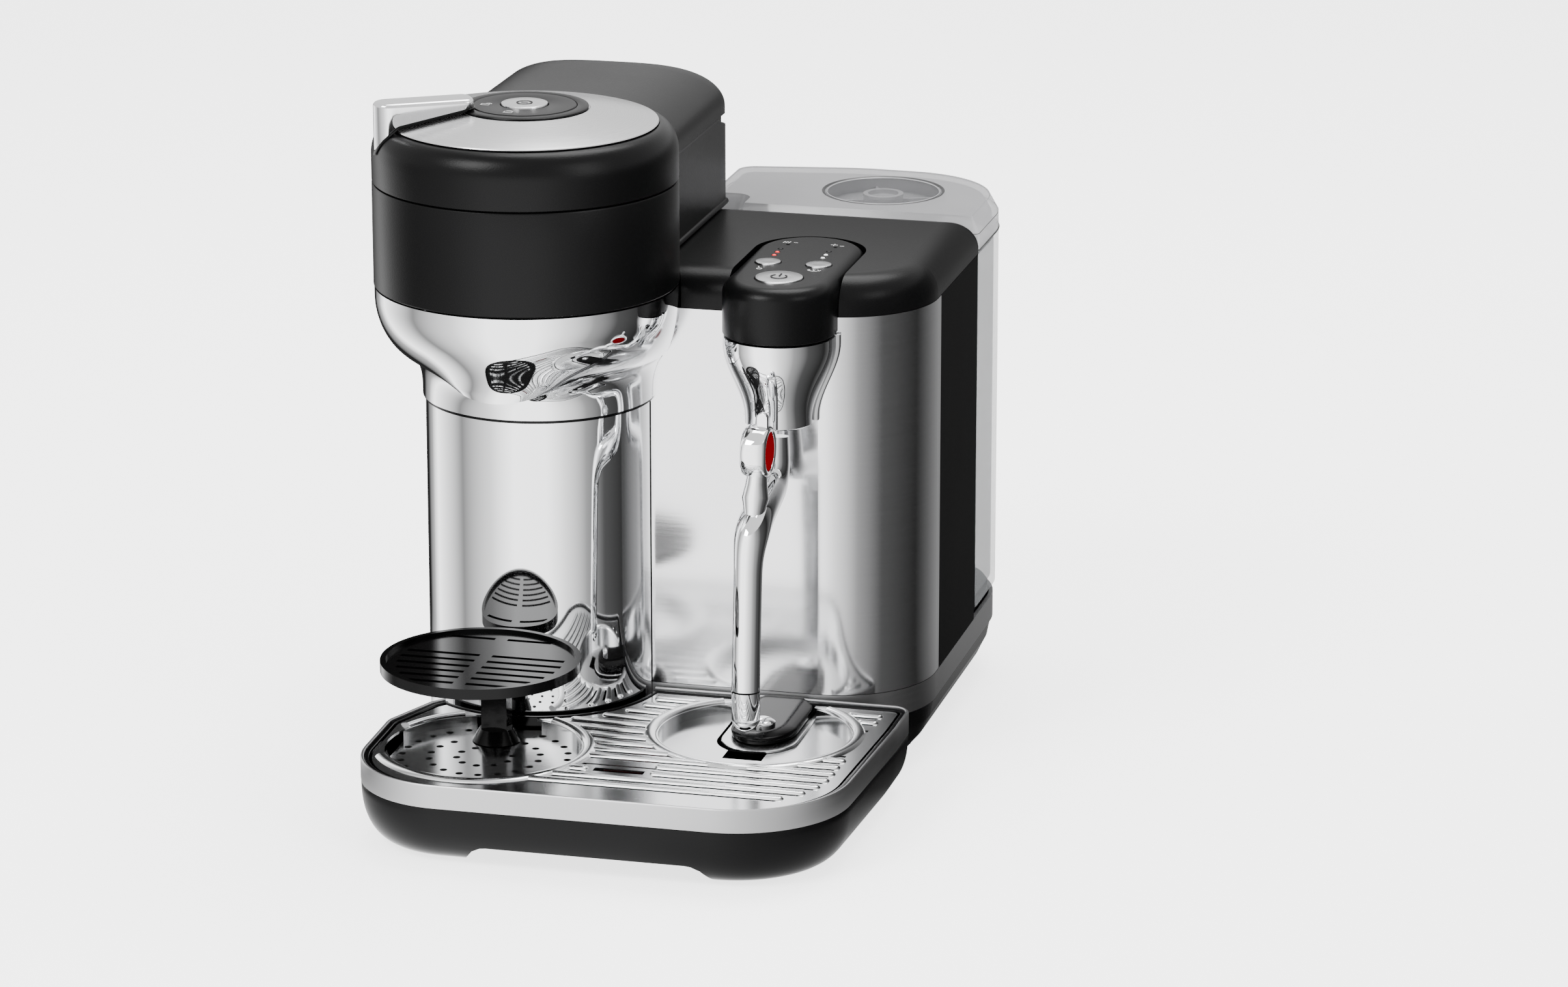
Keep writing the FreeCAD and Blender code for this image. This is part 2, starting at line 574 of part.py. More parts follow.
def lock_lever():
    # Chrome fin: an upright blade with a full round outer end and a foot that follows the lid
    half = LEVER_THICK / 2
    profile = [(LEVER_IN, PIVOT_Z + 0.75), (31.0, PIVOT_Z + 0.75), (DISC_R - 2, 318.9), (67.5, 316.0),
               (70.5, 312.5), (LEVER_OUT + 0.5, 308.8), (LEVER_OUT + 0.5, LEVER_TOP - 1.6), (LEVER_IN, LEVER_TOP)]
    points = [V(r, -half, z) for r, z in profile]
    blade = Part.Face(Part.makePolygon(points + [points[0]])).extrude(V(0, LEVER_THICK, 0))
    near, far, z = LEVER_IN + 3, LEVER_OUT - half, SEAM - 1
    plan = Part.Wire([
        Part.LineSegment(V(near, -half, z), V(far, -half, z)).toShape(),
        Part.Arc(V(far, -half, z), V(LEVER_OUT, 0, z), V(far, half, z)).toShape(),
        Part.LineSegment(V(far, half, z), V(near, half, z)).toShape(),
        Part.Arc(V(near, half, z), V(LEVER_IN, 0, z), V(near, -half, z)).toShape(),
    ])
    blade = blade.common(Part.Face(plan).extrude(V(0, 0, 60)))
    lid_body = revolved((0, 0), [(r + 0.5, z + 0.4) for r, z in LID_PROFILE[1:-1]] + [(0, 317.4), (0, SEAM)])
    blade = blade.cut(lid_body)
    blade.rotate(V(0, 0, 0), V(0, 0, 1), LEVER_ANGLE)
    blade.translate(V(HEAD[0], HEAD[1], 0))
    return blade


# ---- buttons ----------------------------------------------------------------------------

def button(name):
    # Round metal key with a retaining flange below the skin it passes through
    x, y, r, top = BUTTONS[name]
    key = cyl((x, y), r, top - 5.6, top)
    key = rounded_top(key, top, 0.5)
    return key.fuse(cyl((x, y), r + 1.2, top - 6.6, top - 5.0))


def button_spring(name):
    x, y, r, top = BUTTONS[name]
    helix = Part.makeHelix(1.6, 4.8, r - 3.0)
    helix.translate(V(x, y, top - 12.0))
    section = Part.Wire(Part.makeCircle(0.35, V(x + r - 3.0, y, top - 12.0), V(0, 1, 0)))
    return Part.Wire(helix.Edges).makePipeShell([section], True, True)


# ---- steam side -------------------------------------------------------------------------

def steam_cap():
    # Black cap over the steam head that carries its three keys and its lamps
    solid = stadium_prism(STEAM_X, STEAM_FRONT_Y, STEAM_REAR_Y, STEAM_R, CAP_BOTTOM, CAP_TOP)
    solid = rounded_top(solid, CAP_TOP, 4.0)
    room = stadium_prism(STEAM_X, STEAM_FRONT_Y, STEAM_REAR_Y, STEAM_R - 2.6, CAP_BOTTOM - 1, CAP_TOP - BUTTON_SKIN)
    cap = solid.cut(room)
    body = box(STEAM_X - 40, STEAM_X + 40, PANEL_Y - 0.3, 60, CAP_BOTTOM - 1, PANEL_TOP + 0.8)
    cap = cap.cut(body)
    shelf = stadium_prism(STEAM_X, STEAM_FRONT_Y, STEAM_REAR_Y - 2, STEAM_R - 2.6, 232.4, 234.4)
    cap = cap.fuse(shelf)
    for name in ("power_button", "milk_temp_button", "milk_foam_button"):
        x, y, r, top = BUTTONS[name]
        cap = cap.cut(cyl((x, y), r + 0.3, 240, 260))
    for spot in led_spots():
        cap = cap.cut(cyl(spot, 1.3, 240, 260))
    return cap


def led_spots():
    return [(x, LED_ROW_Y + LED_STEP * i) for x in LED_ROWS for i in range(3)]


def status_leds():
    # Two rows of three lamps: milk temperature at the left, milk foam at the right
    return group([cyl(spot, 1.25, 241.5, CAP_TOP + 0.1) for spot in led_spots()])


def steam_funnel():
    # Chrome funnel that narrows from the cap down to the wand's joint
    levels = [(CAP_BOTTOM - 0.4, STEAM_R), (206.5, 26.0), (194.0, 22.0), (184.0, 17.6), (177.5, 16.2)]
    wires = [d_wire(STEAM_X, STEAM_FRONT_Y, PANEL_Y - 0.3, r, z) for z, r in levels]
    rooms = [d_wire(STEAM_X, STEAM_FRONT_Y, PANEL_Y - 1.2, r - 1.8, z) for z, r in
             [(CAP_BOTTOM + 0.6, STEAM_R), (206.5, 26.0), (194.0, 22.0), (184.0, 17.6), (176.5, 16.2)]]
    funnel = Part.makeLoft(wires, True, False).cut(Part.makeLoft(rooms, True, False))
    ears = []
    for side in (-1, 1):
        x0 = STEAM_X + side * 9.7 - 1.5
        ear = box(x0, x0 + 3, WAND_HINGE[0] - 5, WAND_HINGE[0] + 6, WAND_HINGE[1] - 0.5, 192)
        ear = ear.fuse(cyl_x(WAND_HINGE[0], WAND_HINGE[1], 5.0, x0, x0 + 3))
        ears.append(ear.cut(cyl_x(WAND_HINGE[0], WAND_HINGE[1], 2.05, x0 - 1, x0 + 4)))
    shelf = Part.Face(d_wire(STEAM_X, STEAM_FRONT_Y, PANEL_Y - 0.6, 17.8, 188.0)).extrude(V(0, 0, 2))
    return funnel.fuse(ears[0]).fuse(ears[1]).fuse(shelf)


def wand_hinge_pin():
    return cyl_x(WAND_HINGE[0], WAND_HINGE[1], 2.0, STEAM_X - 11.6, STEAM_X + 11.6)


def wand_tube():
    # Bent chrome steam pipe with the hinge boss at its top
    path = bent_wire(WAND_PATH, WAND_BEND_R)
    uy, uz = unit(WAND_PATH[0], WAND_PATH[1])
    section = Part.Wire(Part.makeCircle(WAND_R, V(STEAM_X, *WAND_PATH[0]), V(0, uy, uz)))
    pipe = path.makePipeShell([section], True, False)
    boss = cyl_x(WAND_HINGE[0], WAND_HINGE[1], 7.6, STEAM_X - 7.4, STEAM_X + 7.4)
    neck = Part.makeCylinder(WAND_R, 8, V(STEAM_X, WAND_PATH[0][0] + 1.4, WAND_PATH[0][1] + 7), V(0, uy, uz))
    stem = Part.makeCylinder(3.2, 24, V(STEAM_X, -83.0, 144.0), V(0, 0.1, 1))
    tube = pipe.fuse(boss).fuse(neck).fuse(stem).cut(box(40, 90, -130, -80, 0, WAND_JOINT_Z + 0.2))
    bore = cyl_x(WAND_HINGE[0], WAND_HINGE[1], 2.05, STEAM_X - 20, STEAM_X + 20)
    knob_room = cyl_x(KNOB[0], KNOB[1], KNOB_R, STEAM_X - KNOB_WIDTH / 2, STEAM_X + KNOB_WIDTH / 2)
    return tube.cut(bore).cut(knob_room)


def wand_tip():
    # Screwed-on end of the wand with a round nose and a steam hole
    y = WAND_PATH[-1][0]
    tip = cyl((STEAM_X, y), WAND_R, WAND_TIP_Z + WAND_R, WAND_JOINT_Z)
    tip = tip.fuse(Part.makeSphere(WAND_R, V(STEAM_X, y, WAND_TIP_Z + WAND_R)))
    return tip.cut(cyl((STEAM_X, y), 0.8, WAND_TIP_Z - 1, WAND_TIP_Z + 11))


def wand_knob():
    half = KNOB_WIDTH / 2
    knob = cyl_x(KNOB[0], KNOB[1], KNOB_R, STEAM_X - half, STEAM_X + half)
    for side in (-1, 1):
        x0 = STEAM_X + side * (half - 0.8) - 0.8
        knob = knob.cut(cyl_x(KNOB[0], KNOB[1], KNOB_R - 2.4, x0 - 0.05, x0 + 1.65))
    return knob


def knob_inserts():
    half = KNOB_WIDTH / 2
    return group([cyl_x(KNOB[0], KNOB[1], KNOB_R - 2.5, STEAM_X + side * (half - 0.9) - 0.6,
                        STEAM_X + side * (half - 0.9) + 0.6) for side in (-1, 1)])


ARM_HALF = 17.5
ARM_FRONT_Y = -101.7
SENSOR = (65.0, -79.0)


def milk_sensor_arm():
    # Black lobe that reaches over the tray and holds the milk jug's temperature sensor
    arm = Part.Face(d_wire(STEAM_X, ARM_FRONT_Y + ARM_HALF, PANEL_Y - 0.6, ARM_HALF, 27.0)).extrude(V(0, 0, 13))
    arm = rounded_top(arm.cut(cyl(SENSOR, 6.3, 30.0, 60)), 40.0, 0.6)
    return arm.cut(box(STEAM_X - 8, STEAM_X + 8, -74, PANEL_Y - 3, 26, 29))


def milk_sensor():
    dome = Part.makeSphere(9.0, V(SENSOR[0], SENSOR[1], 34.6)).common(cyl(SENSOR, 6.0, 36.0, 50))
    return dome.fuse(cyl(SENSOR, 6.0, 32.6, 38.6))


# ---- drip tray --------------------------------------------------------------------------

TRAY_FEET = [(-72.0, -172.0), (84.0, -168.0)]
TRAY_LEVELS = [(3.0, 20.0), (6.0, 13.5), (13.0, 6.5), (21.0, 2.6), (BAND_BOTTOM, 1.0)]
ARCH_X = (-40.0, 62.0)
ARCH_Z = 12.0
FLOAT_X = (3.0, 29.0)
FLOAT_Y = -155.0


def column_room(r, z0=-5, z1=60):
    return cyl(COLUMN, r, z0, z1)


def arm_room(extra, z0, z1):
    wire = d_wire(STEAM_X, ARM_FRONT_Y + ARM_HALF, 0, ARM_HALF + extra, z0)
    return Part.Face(wire).extrude(V(0, 0, z1 - z0))


def tray_shell():
    # Black tub that catches drips, with a raised middle between its two front feet
    outer = tapered(TRAY_PLAN, TRAY_LEVELS)
    rim = prism(TRAY_PLAN, BAND_BOTTOM - 0.2, GRID_TOP - 2.2, 2.3)
    outer = outer.fuse(rim).cut(column_room(COLUMN_R + 2.8))
    hollow = prism(TRAY_PLAN, ARCH_Z + 3.0, GRID_TOP + 5, 8.6).cut(column_room(COLUMN_R + 6.4))
    tray = outer.cut(hollow)
    arch = Part.makePolygon([V(ARCH_X[0] - 10, -210, -1), V(ARCH_X[1] + 10, -210, -1),
                             V(ARCH_X[1], -210, ARCH_Z), V(ARCH_X[0], -210, ARCH_Z),
                             V(ARCH_X[0] - 10, -210, -1)])
    tray = tray.cut(Part.Face(arch).extrude(V(0, 200, 0)))
    tray = tray.cut(box(-120, 140, -140, -20, -1, ARCH_Z))
    tray = tray.cut(arm_room(0.8, 25.0, 60))
    for foot in TRAY_FEET:
        tray = tray.cut(cyl(foot, 8.3, -1, 4.2))
    return tray.cut(float_room())


def float_room():
    return box(FLOAT_X[0] - 1.5, FLOAT_X[1] + 1.5, FLOAT_Y - 3.4, FLOAT_Y + 3.4, ARCH_Z + 3.0, 60)


def tray_feet():
    return group([cyl(foot, 8.0, 0, 4.0) for foot in TRAY_FEET])


def tray_band():
    band = prism(TRAY_PLAN, BAND_BOTTOM + 0.2, GRID_TOP + 1.6).cut(
        prism(TRAY_PLAN, BAND_BOTTOM - 1, 60, 2.1))
    band = band.cut(column_room(COLUMN_R + 2.4))
    return band.cut(box(-20, BODY_RIGHT - 14, -42, -30, 0, 60))


def tray_float():
    # Red tab that rises through its slot when the tray is full
    tab = box(FLOAT_X[0] + 4, FLOAT_X[1] - 4, FLOAT_Y - 1.3, FLOAT_Y + 1.3, 24.0, 35.4)
    return tab.fuse(box(FLOAT_X[0] + 1, FLOAT_X[1] - 1, FLOAT_Y - 2.8, FLOAT_Y + 2.8, 15.3, 24.4))


SLOT_PITCH = 9.55
SLOT_ROWS = 15
SLOT_WIDTH = 2.4
FIRST_SLOT_Y = -43.5
DISH_DEPTH = 5.0
SHEET = 1.2


def drip_grid():
    # Pressed steel grid with rows of slots, a pierced dish at the left and a drained dish at the right
    top, low = GRID_TOP, GRID_TOP - SHEET
    plan = prism(TRAY_PLAN, low, top, 5.4).cut(column_room(COLUMN_R + 5.2))
    lower = prism(TRAY_PLAN, low - 8, top, 10.5).cut(column_room(COLUMN_R + 8.0))
    grid = plan
    for center, r in ((LEFT_DISH, DISH_R), (RIGHT_DISH, DISH_R)):
        grid = grid.cut(cyl(center, r, 0, 60))
        wall = ring(center, r + 0.6, r - SHEET, low - DISH_DEPTH, top - 0.2)
        floor = cyl(center, r, low - DISH_DEPTH, top - DISH_DEPTH)
        grid = grid.fuse(wall.fuse(floor).common(lower))
    for i in range(SLOT_ROWS):
        y = FIRST_SLOT_Y - SLOT_PITCH * i
        grid = grid.cut(slot_row(y))
    for spot in dish_holes():
        grid = grid.cut(cyl(spot, 1.8, low - DISH_DEPTH - 1, top - DISH_DEPTH + 1))
    grid = grid.cut(cyl((CUP_REST[0], STALK_Y), 7.4, 20, 60))
    grid = grid.cut(box(STEAM_X - 9.5, STEAM_X + 9.5, -111.8, -100, 20, 60))
    grid = grid.cut(arm_room(1.0, 20, 60))
    return grid.cut(box(FLOAT_X[0] + 1, FLOAT_X[1] - 1, FLOAT_Y - 2.4, FLOAT_Y + 2.4, 20, 60))


def slot_row(y):
    # One row of the grid's slots, stopping short of the dishes, the column and the float
    row = box(-60, 116, y - SLOT_WIDTH / 2, y + SLOT_WIDTH / 2, 0, 60)
    row = row.common(prism(TRAY_PLAN, 0, 60, 13.0)).cut(column_room(COLUMN_R + 11, -5, 70))
    for center in (LEFT_DISH, RIGHT_DISH):
        row = row.cut(cyl(center, DISH_R + 5, -5, 70))
    row = row.cut(arm_room(7.0, -5, 70))
    return row.cut(box(FLOAT_X[0] - 4, FLOAT_X[1] + 4, FLOAT_Y - 6, FLOAT_Y + 6, -5, 70))


def dish_holes():
    holes = []
    for ring_number, count in ((1, 10), (2, 18), (3, 26)):
        r = 13.0 * ring_number
        for k in range(count):
            angle = 2 * math.pi * (k + 0.5 * ring_number) / count
            spot = (LEFT_DISH[0] + r * math.cos(angle), LEFT_DISH[1] + r * math.sin(angle))
            near_stalk = math.hypot(spot[0] - CUP_REST[0], spot[1] - STALK_Y) < 14
            near_column = math.hypot(spot[0] - COLUMN[0], spot[1] - COLUMN[1]) < COLUMN_R + 12
            if not near_stalk and not near_column and spot[1] > -186:
                holes.append(spot)
    return holes


CUP_REST_TOP = 81.0
CUP_REST_R = 46.7


def cup_support():
    # Slotted black disc for small cups on a stalk that plugs into the grid
    disc = cyl(CUP_REST, CUP_REST_R, CUP_REST_TOP - 5, CUP_REST_TOP)
    disc = disc.cut(cyl(CUP_REST, CUP_REST_R - 2.6, CUP_REST_TOP - 1.6, CUP_REST_TOP + 1))
    for i in range(-4, 5):
        y = CUP_REST[1] + 8.4 * i
        reach = math.sqrt(CUP_REST_R ** 2 - (8.4 * i) ** 2) - 8
        for x0, x1 in ((-reach, -3.0), (3.0, reach)):
            under_stalk = abs(y - STALK_Y) < 9
            if x1 - x0 > 8 and not under_stalk:
                disc = disc.cut(box(CUP_REST[0] + x0, CUP_REST[0] + x1, y - 1.5, y + 1.5, 70, 90))
    spot = (CUP_REST[0], STALK_Y)
    stalk = box(spot[0] - 6.2, spot[0] + 6.2, STALK_Y - 4.5, STALK_Y + 4.5, 33.4, CUP_REST_TOP - 4)
    foot = Part.makeCone(11.5, 8.0, 6.0, V(spot[0], spot[1], 33.4), V(0, 0, 1))
    peg = cyl(spot, 6.9, 22.0, 34.0)
    return disc.fuse(stalk).fuse(foot).fuse(peg)


# ---- rear bay ---------------------------------------------------------------------------

TANK_BOTTOM, TANK_RIM, TANK_TOP = 45.4, 228.0, 244.0
TANK_WALL = 2.4
CAP_SPOT = (68.5, 151.0)
CAP_SPOT_R = 29.5
VALVE = (58.0, 150.0)


def water_tank():
    # Clear tank with a floor valve opening
    tank = prism(TANK_PLAN, TANK_BOTTOM, TANK_RIM, 0.4).cut(
        prism(TANK_PLAN, TANK_BOTTOM + 3, TANK_RIM + 1, TANK_WALL + 0.4))
    return tank.cut(cyl(VALVE, 9.2, 0, 60))


def tank_lid():
    # Clear lid with a bevelled edge and a round opening for its cap
    lid = tapered(TANK_PLAN, [(TANK_RIM + GAP, 0.4), (236.0, 0.6), (TANK_TOP, 5.0)])
    lid = lid.cut(tapered(TANK_PLAN, [(TANK_RIM - 1, 3.6), (235.0, 3.9), (TANK_TOP - 2.4, 7.6)]))
    skirt = prism(TANK_PLAN, TANK_RIM - 5, TANK_RIM + 3, TANK_WALL + 0.8).cut(
        prism(TANK_PLAN, TANK_RIM - 6, TANK_RIM + 4, TANK_WALL + 2.6))
    lid = lid.fuse(skirt)
    lid = lid.cut(cyl(CAP_SPOT, CAP_SPOT_R + 0.4, 200, 300))
    seat = ring(CAP_SPOT, CAP_SPOT_R + 1.8, CAP_SPOT_R - 3.0, TANK_TOP - 11, TANK_TOP - 9)
    wall = ring(CAP_SPOT, CAP_SPOT_R + 1.8, CAP_SPOT_R + 0.4, TANK_TOP - 11, TANK_TOP - 1)
    return lid.fuse(wall).fuse(seat)


def tank_cap():
    # Recessed cap in the tank lid, with a knob and four ribs
    z0 = TANK_TOP - 8.8
    cap = cyl(CAP_SPOT, CAP_SPOT_R, z0, z0 + 2.0)
    cap = cap.fuse(ring(CAP_SPOT, CAP_SPOT_R, CAP_SPOT_R - 1.6, z0, TANK_TOP - 0.4))
    cap = cap.fuse(cyl(CAP_SPOT, 10.0, z0 + 1, z0 + 7.6).cut(cyl(CAP_SPOT, 7.6, z0 + 5.6, 260)))
    for i in range(4):
        rib = box(9, CAP_SPOT_R - 1, -0.8, 0.8, z0 + 1.5, z0 + 4.6)
        rib.rotate(V(0, 0, 0), V(0, 0, 1), 20 + 90 * i)
        rib.translate(V(CAP_SPOT[0], CAP_SPOT[1], 0))
        cap = cap.fuse(rib)
    return cap


def tank_valve():
    stem = cyl(VALVE, 9.0, TANK_BOTTOM - 2.2, TANK_BOTTOM + 9)
    flange = cyl(VALVE, 12.4, TANK_BOTTOM + 3.1, TANK_BOTTOM + 5.0)
    return stem.fuse(flange).cut(cyl(VALVE, 3.0, 0, 70))


def valve_seat():
    # Socket in the shelf that the tank's valve drops into
    seat = ring(VALVE, 13.0, 9.5, 30.0, 45.0)
    return seat.fuse(cyl(VALVE, 13.0, 28.0, 31.0)).cut(cyl(VALVE, 2.6, 20, 35))


def capsule_bin():
    # Black drawer for used capsules that slides out at the back
    tub = prism(BIN_PLAN, PLATFORM_TOP + 0.4, 238.0).cut(
        prism(BIN_PLAN, PLATFORM_TOP + 3.4, 240.0, 2.6))
    grip = box(-84, -40, 180, 200, 196, 222)
    return tub.cut(grip)


# ---- works inside the body --------------------------------------------------------------

def thermoblock():
    block = box(-70, 0, 40, 70, 96, 170)
    for i in range(6):
        block = block.cut(box(-71, 1, 38, 43, 103 + 11 * i, 109 + 11 * i))
    foot_left = box(-68, -60, 50, 60, PLATFORM_TOP, 97)
    foot_right = box(-10, -2, 50, 60, PLATFORM_TOP, 97)
    return block.fuse(foot_left).fuse(foot_right)


def water_pump():
    pump = Part.makeCylinder(17, 60, V(30, 60, 78), V(1, 0, 0))
    pump = pump.fuse(Part.makeCylinder(8, 84, V(18, 60, 78), V(1, 0, 0)))
    pump = pump.fuse(box(36, 84, 48, 72, PLATFORM_TOP, 68))
    return pump.cut(Part.makeCylinder(2.5, 90, V(16, 60, 78), V(1, 0, 0)))


def steam_boiler():
    boiler = cyl((92.0, 36.0), 24.0, 112, 196)
    legs = [cyl((92.0 + 16 * math.cos(a), 36.0 + 16 * math.sin(a)), 3.0, 98.0, 113) for a in (0.5, 2.6, 4.7)]
    plate = box(66, 118, 12, 60, 96, 98.4)
    for leg in legs:
        boiler = boiler.fuse(leg)
    return boiler.fuse(plate).fuse(box(112, 118, 26, 46, PLATFORM_TOP, 97))


def control_board():
    board = box(10, 60, -26, -24.4, 60, 190)
    parts = [box(16, 30, -24.6, -14, 70, 92), box(36, 54, -24.6, -8, 74, 98),
             box(18, 44, -24.6, -20, 112, 138), box(16, 26, -24.6, -12, 150, 176)]
    for piece in parts:
        board = board.fuse(piece)
    for x in (14, 56):
        board = board.fuse(box(x - 2, x + 2, -32, -25, PLATFORM_TOP, 62))
    return board


NODES = {
    "base_pan": base_pan, "base_band": base_band, "platform": platform, "rubber_feet": rubber_feet,
    "base_screws": base_screws, "cord_inlet": cord_inlet, "front_panel": front_panel,
    "side_panel_right": side_panel_right, "side_panel_left": side_panel_left, "bulkhead": bulkhead,
    "top_cover": top_cover, "column_tube": column_tube, "column_collar": column_collar,
    "brew_bowl": brew_bowl, "head_housing": head_housing,
    "lid_hinge_pin": lid_hinge_pin, "chamber_deck": chamber_deck, "rotor_bearing": rotor_bearing,
    "capsule_seat": capsule_seat, "rotor_pulley": rotor_pulley, "motor_pulley": motor_pulley,
    "drive_belt": drive_belt, "spin_motor": spin_motor, "lid_shell": lid_shell, "lid_disc": lid_disc,
    "pivot_disc": pivot_disc, "sealing_plate": sealing_plate, "lever_ring": lever_ring,
    "lock_lever": lock_lever, "steam_cap": steam_cap, "steam_funnel": steam_funnel,
    "wand_hinge_pin": wand_hinge_pin, "wand_tube": wand_tube, "wand_tip": wand_tip,
    "wand_knob": wand_knob, "knob_inserts": knob_inserts, "milk_sensor_arm": milk_sensor_arm,
    "milk_sensor": milk_sensor, "tray_shell": tray_shell, "tray_feet": tray_feet,
    "tray_band": tray_band, "tray_float": tray_float, "drip_grid": drip_grid,
    "cup_support": cup_support, "water_tank": water_tank, "tank_lid": tank_lid, "tank_cap": tank_cap,
    "tank_valve": tank_valve, "valve_seat": valve_seat, "capsule_bin": capsule_bin,
    "thermoblock": thermoblock, "water_pump": water_pump,
    "steam_boiler": steam_boiler, "control_board": control_board, "status_leds": status_leds,
    "brew_button_spring": lambda: button_spring("brew_button"),
}
for button_name in BUTTONS:
    NODES[button_name] = lambda chosen=button_name: button(chosen)

os.makedirs("parts", exist_ok=True)
for node_name, make in NODES.items():
    shape = make()
    bounds = shape.BoundBox
    print(f"{node_name:18s} solids {len(shape.Solids)} valid {shape.isValid()} "
          f"volume {shape.Volume / 1000:9.2f} cm3 "
          f"x {bounds.XMin:7.1f} {bounds.XMax:7.1f} y {bounds.YMin:7.1f} {bounds.YMax:7.1f} "
          f"z {bounds.ZMin:6.1f} {bounds.ZMax:6.1f}")
    shape.exportStep(f"parts/{node_name}.step")
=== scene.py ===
import json
import math

import bmesh
import bpy
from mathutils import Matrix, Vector


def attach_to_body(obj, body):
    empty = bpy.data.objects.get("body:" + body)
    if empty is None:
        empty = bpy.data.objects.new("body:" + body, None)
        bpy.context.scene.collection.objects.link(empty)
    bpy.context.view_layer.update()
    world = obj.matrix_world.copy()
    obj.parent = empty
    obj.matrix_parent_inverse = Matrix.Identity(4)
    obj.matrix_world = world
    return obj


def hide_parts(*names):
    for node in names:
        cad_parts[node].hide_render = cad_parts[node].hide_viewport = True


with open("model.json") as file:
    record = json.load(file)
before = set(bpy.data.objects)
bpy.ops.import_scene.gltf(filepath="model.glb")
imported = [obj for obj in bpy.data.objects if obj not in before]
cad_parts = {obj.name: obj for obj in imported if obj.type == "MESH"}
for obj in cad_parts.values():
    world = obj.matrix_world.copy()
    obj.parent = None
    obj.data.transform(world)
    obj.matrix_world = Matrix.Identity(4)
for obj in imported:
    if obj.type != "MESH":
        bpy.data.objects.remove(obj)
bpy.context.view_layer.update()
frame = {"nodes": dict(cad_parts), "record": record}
nodes = frame["nodes"]
mm = 0.001


# Shader helpers
class Value:
    # A shader socket that can be used in sums, so that 1 - mask and mask * 0.3 add Math nodes
    def __init__(self, finish, socket):
        self.finish, self.socket = finish, socket

    def maths(self, operation, first, second):
        return self.finish.node("ShaderNodeMath", {"operation": operation}, {0: first, 1: second})

    def __add__(self, other):
        return self.maths("ADD", self, other)

    def __sub__(self, other):
        return self.maths("SUBTRACT", self, other)

    def __rsub__(self, other):
        return self.maths("SUBTRACT", other, self)

    def __mul__(self, other):
        return self.maths("MULTIPLY", self, other)

    __radd__, __rmul__ = __add__, __mul__


class Finish:
    # One material: fixed numbers go on its shader's sockets, and what varies is made with node()
    def __init__(self, name, **fixed):
        self.material = bpy.data.materials.new(name)
        self.material.use_nodes = True
        self.tree = self.material.node_tree
        self.shader = self.tree.nodes["Principled BSDF"]
        for socketName, value in fixed.items():
            self.put(socketName, value)
        self.place = self.node("ShaderNodeTexCoord", out="Object")

    def node(self, kind, settings=None, inputs=None, out=0):
        made = self.tree.nodes.new(kind)
        for key, value in (settings or {}).items():
            if key == "stops":
                ramp = made.color_ramp
                while len(ramp.elements) < len(value):
                    ramp.elements.new(0.5)
                for element, (position, shade) in zip(ramp.elements, value):
                    element.position = position
                    element.color = (shade, shade, shade, 1) if isinstance(shade, float) else (*shade, 1)
            else:
                setattr(made, key, value)
        for key, value in (inputs or {}).items():
            if isinstance(value, Value):
                self.tree.links.new(value.socket, made.inputs[key])
            else:
                made.inputs[key].default_value = value
        return Value(self, made.outputs[out])

    def put(self, socketName, value):
        socket = self.shader.inputs[socketName.replace("_", " ")]
        if isinstance(value, Value):
            self.tree.links.new(value.socket, socket)
        else:
            socket.default_value = (*value, 1) if isinstance(value, tuple) and len(value) == 3 else value

    def stretched(self, scale):
        return self.node("ShaderNodeMapping", inputs={"Vector": self.place, "Scale": scale})

    def noise(self, scale, detail, place=None):
        return self.node("ShaderNodeTexNoise", inputs={
            "Vector": place or self.place, "Scale": scale, "Detail": detail})

    def spread(self, value, low, high):
        return self.node("ShaderNodeMapRange", inputs={"Value": value, "To Min": low, "To Max": high})

    def blend(self, factor, first, second):
        colours = {0: factor, 6: (*first, 1), 7: (*second, 1)}
        return self.node("ShaderNodeMix", {"data_type": "RGBA"}, colours, 2)

    def bump(self, height, depth):
        self.put("Normal", self.node("ShaderNodeBump", inputs={
            "Height": height, "Distance": depth, "Strength": 1.0}))


# Finishes
def mouldedPlastic(name, dark, light, rough, grain=1400, depth=0.00004, gloss=0.35):
    finish = Finish(name, IOR=1.5, Specular_IOR_Level=gloss)
    cloud = finish.noise(18, 2)
    fine = finish.noise(grain, 2)
    finish.put("Base_Color", finish.blend(finish.spread(cloud, 0.0, 1.0), dark, light))
    finish.put("Roughness", finish.spread(cloud * 0.6 + fine * 0.4, rough - 0.06, rough + 0.06))
    finish.bump(fine, depth)
    return finish.material


def brightMetal(name, shade, rough, stretch, depth=0.000006, variation=0.05):
    # stretch draws the polishing marks out along one direction
    finish = Finish(name, Metallic=1.0)
    marks = finish.noise(1.0, 4, finish.stretched(stretch))
    smear = finish.noise(14, 2)
    low = tuple(c * (1 - variation) for c in shade)
    finish.put("Base_Color", finish.blend(marks, low, shade))
    finish.put("Roughness", finish.spread(marks * 0.5 + smear * 0.5, rough * 0.6, rough * 1.4))
    finish.bump(marks, depth)
    return finish.material


def spunMetal(name, centre, shade, rough, rings=2600, depth=0.00001):
    # Fine turning marks in circles round a vertical axis
    finish = Finish(name, Metallic=1.0)
    moved = finish.node("ShaderNodeMapping", inputs={
        "Vector": finish.place, "Location": (-centre[0], -centre[1], 0), "Scale": (1, 1, 0)})
    radius = finish.node("ShaderNodeVectorMath", {"operation": "LENGTH"}, {0: moved}, "Value")
    marks = finish.node("ShaderNodeTexNoise", {"noise_dimensions": "1D"},
                        {"W": radius, "Scale": rings, "Detail": 3.0})
    finish.put("Base_Color", finish.blend(marks, tuple(c * 0.8 for c in shade), shade))
    finish.put("Roughness", finish.spread(marks, rough * 0.7, rough * 1.4))
    finish.bump(marks, depth)
    return finish.material


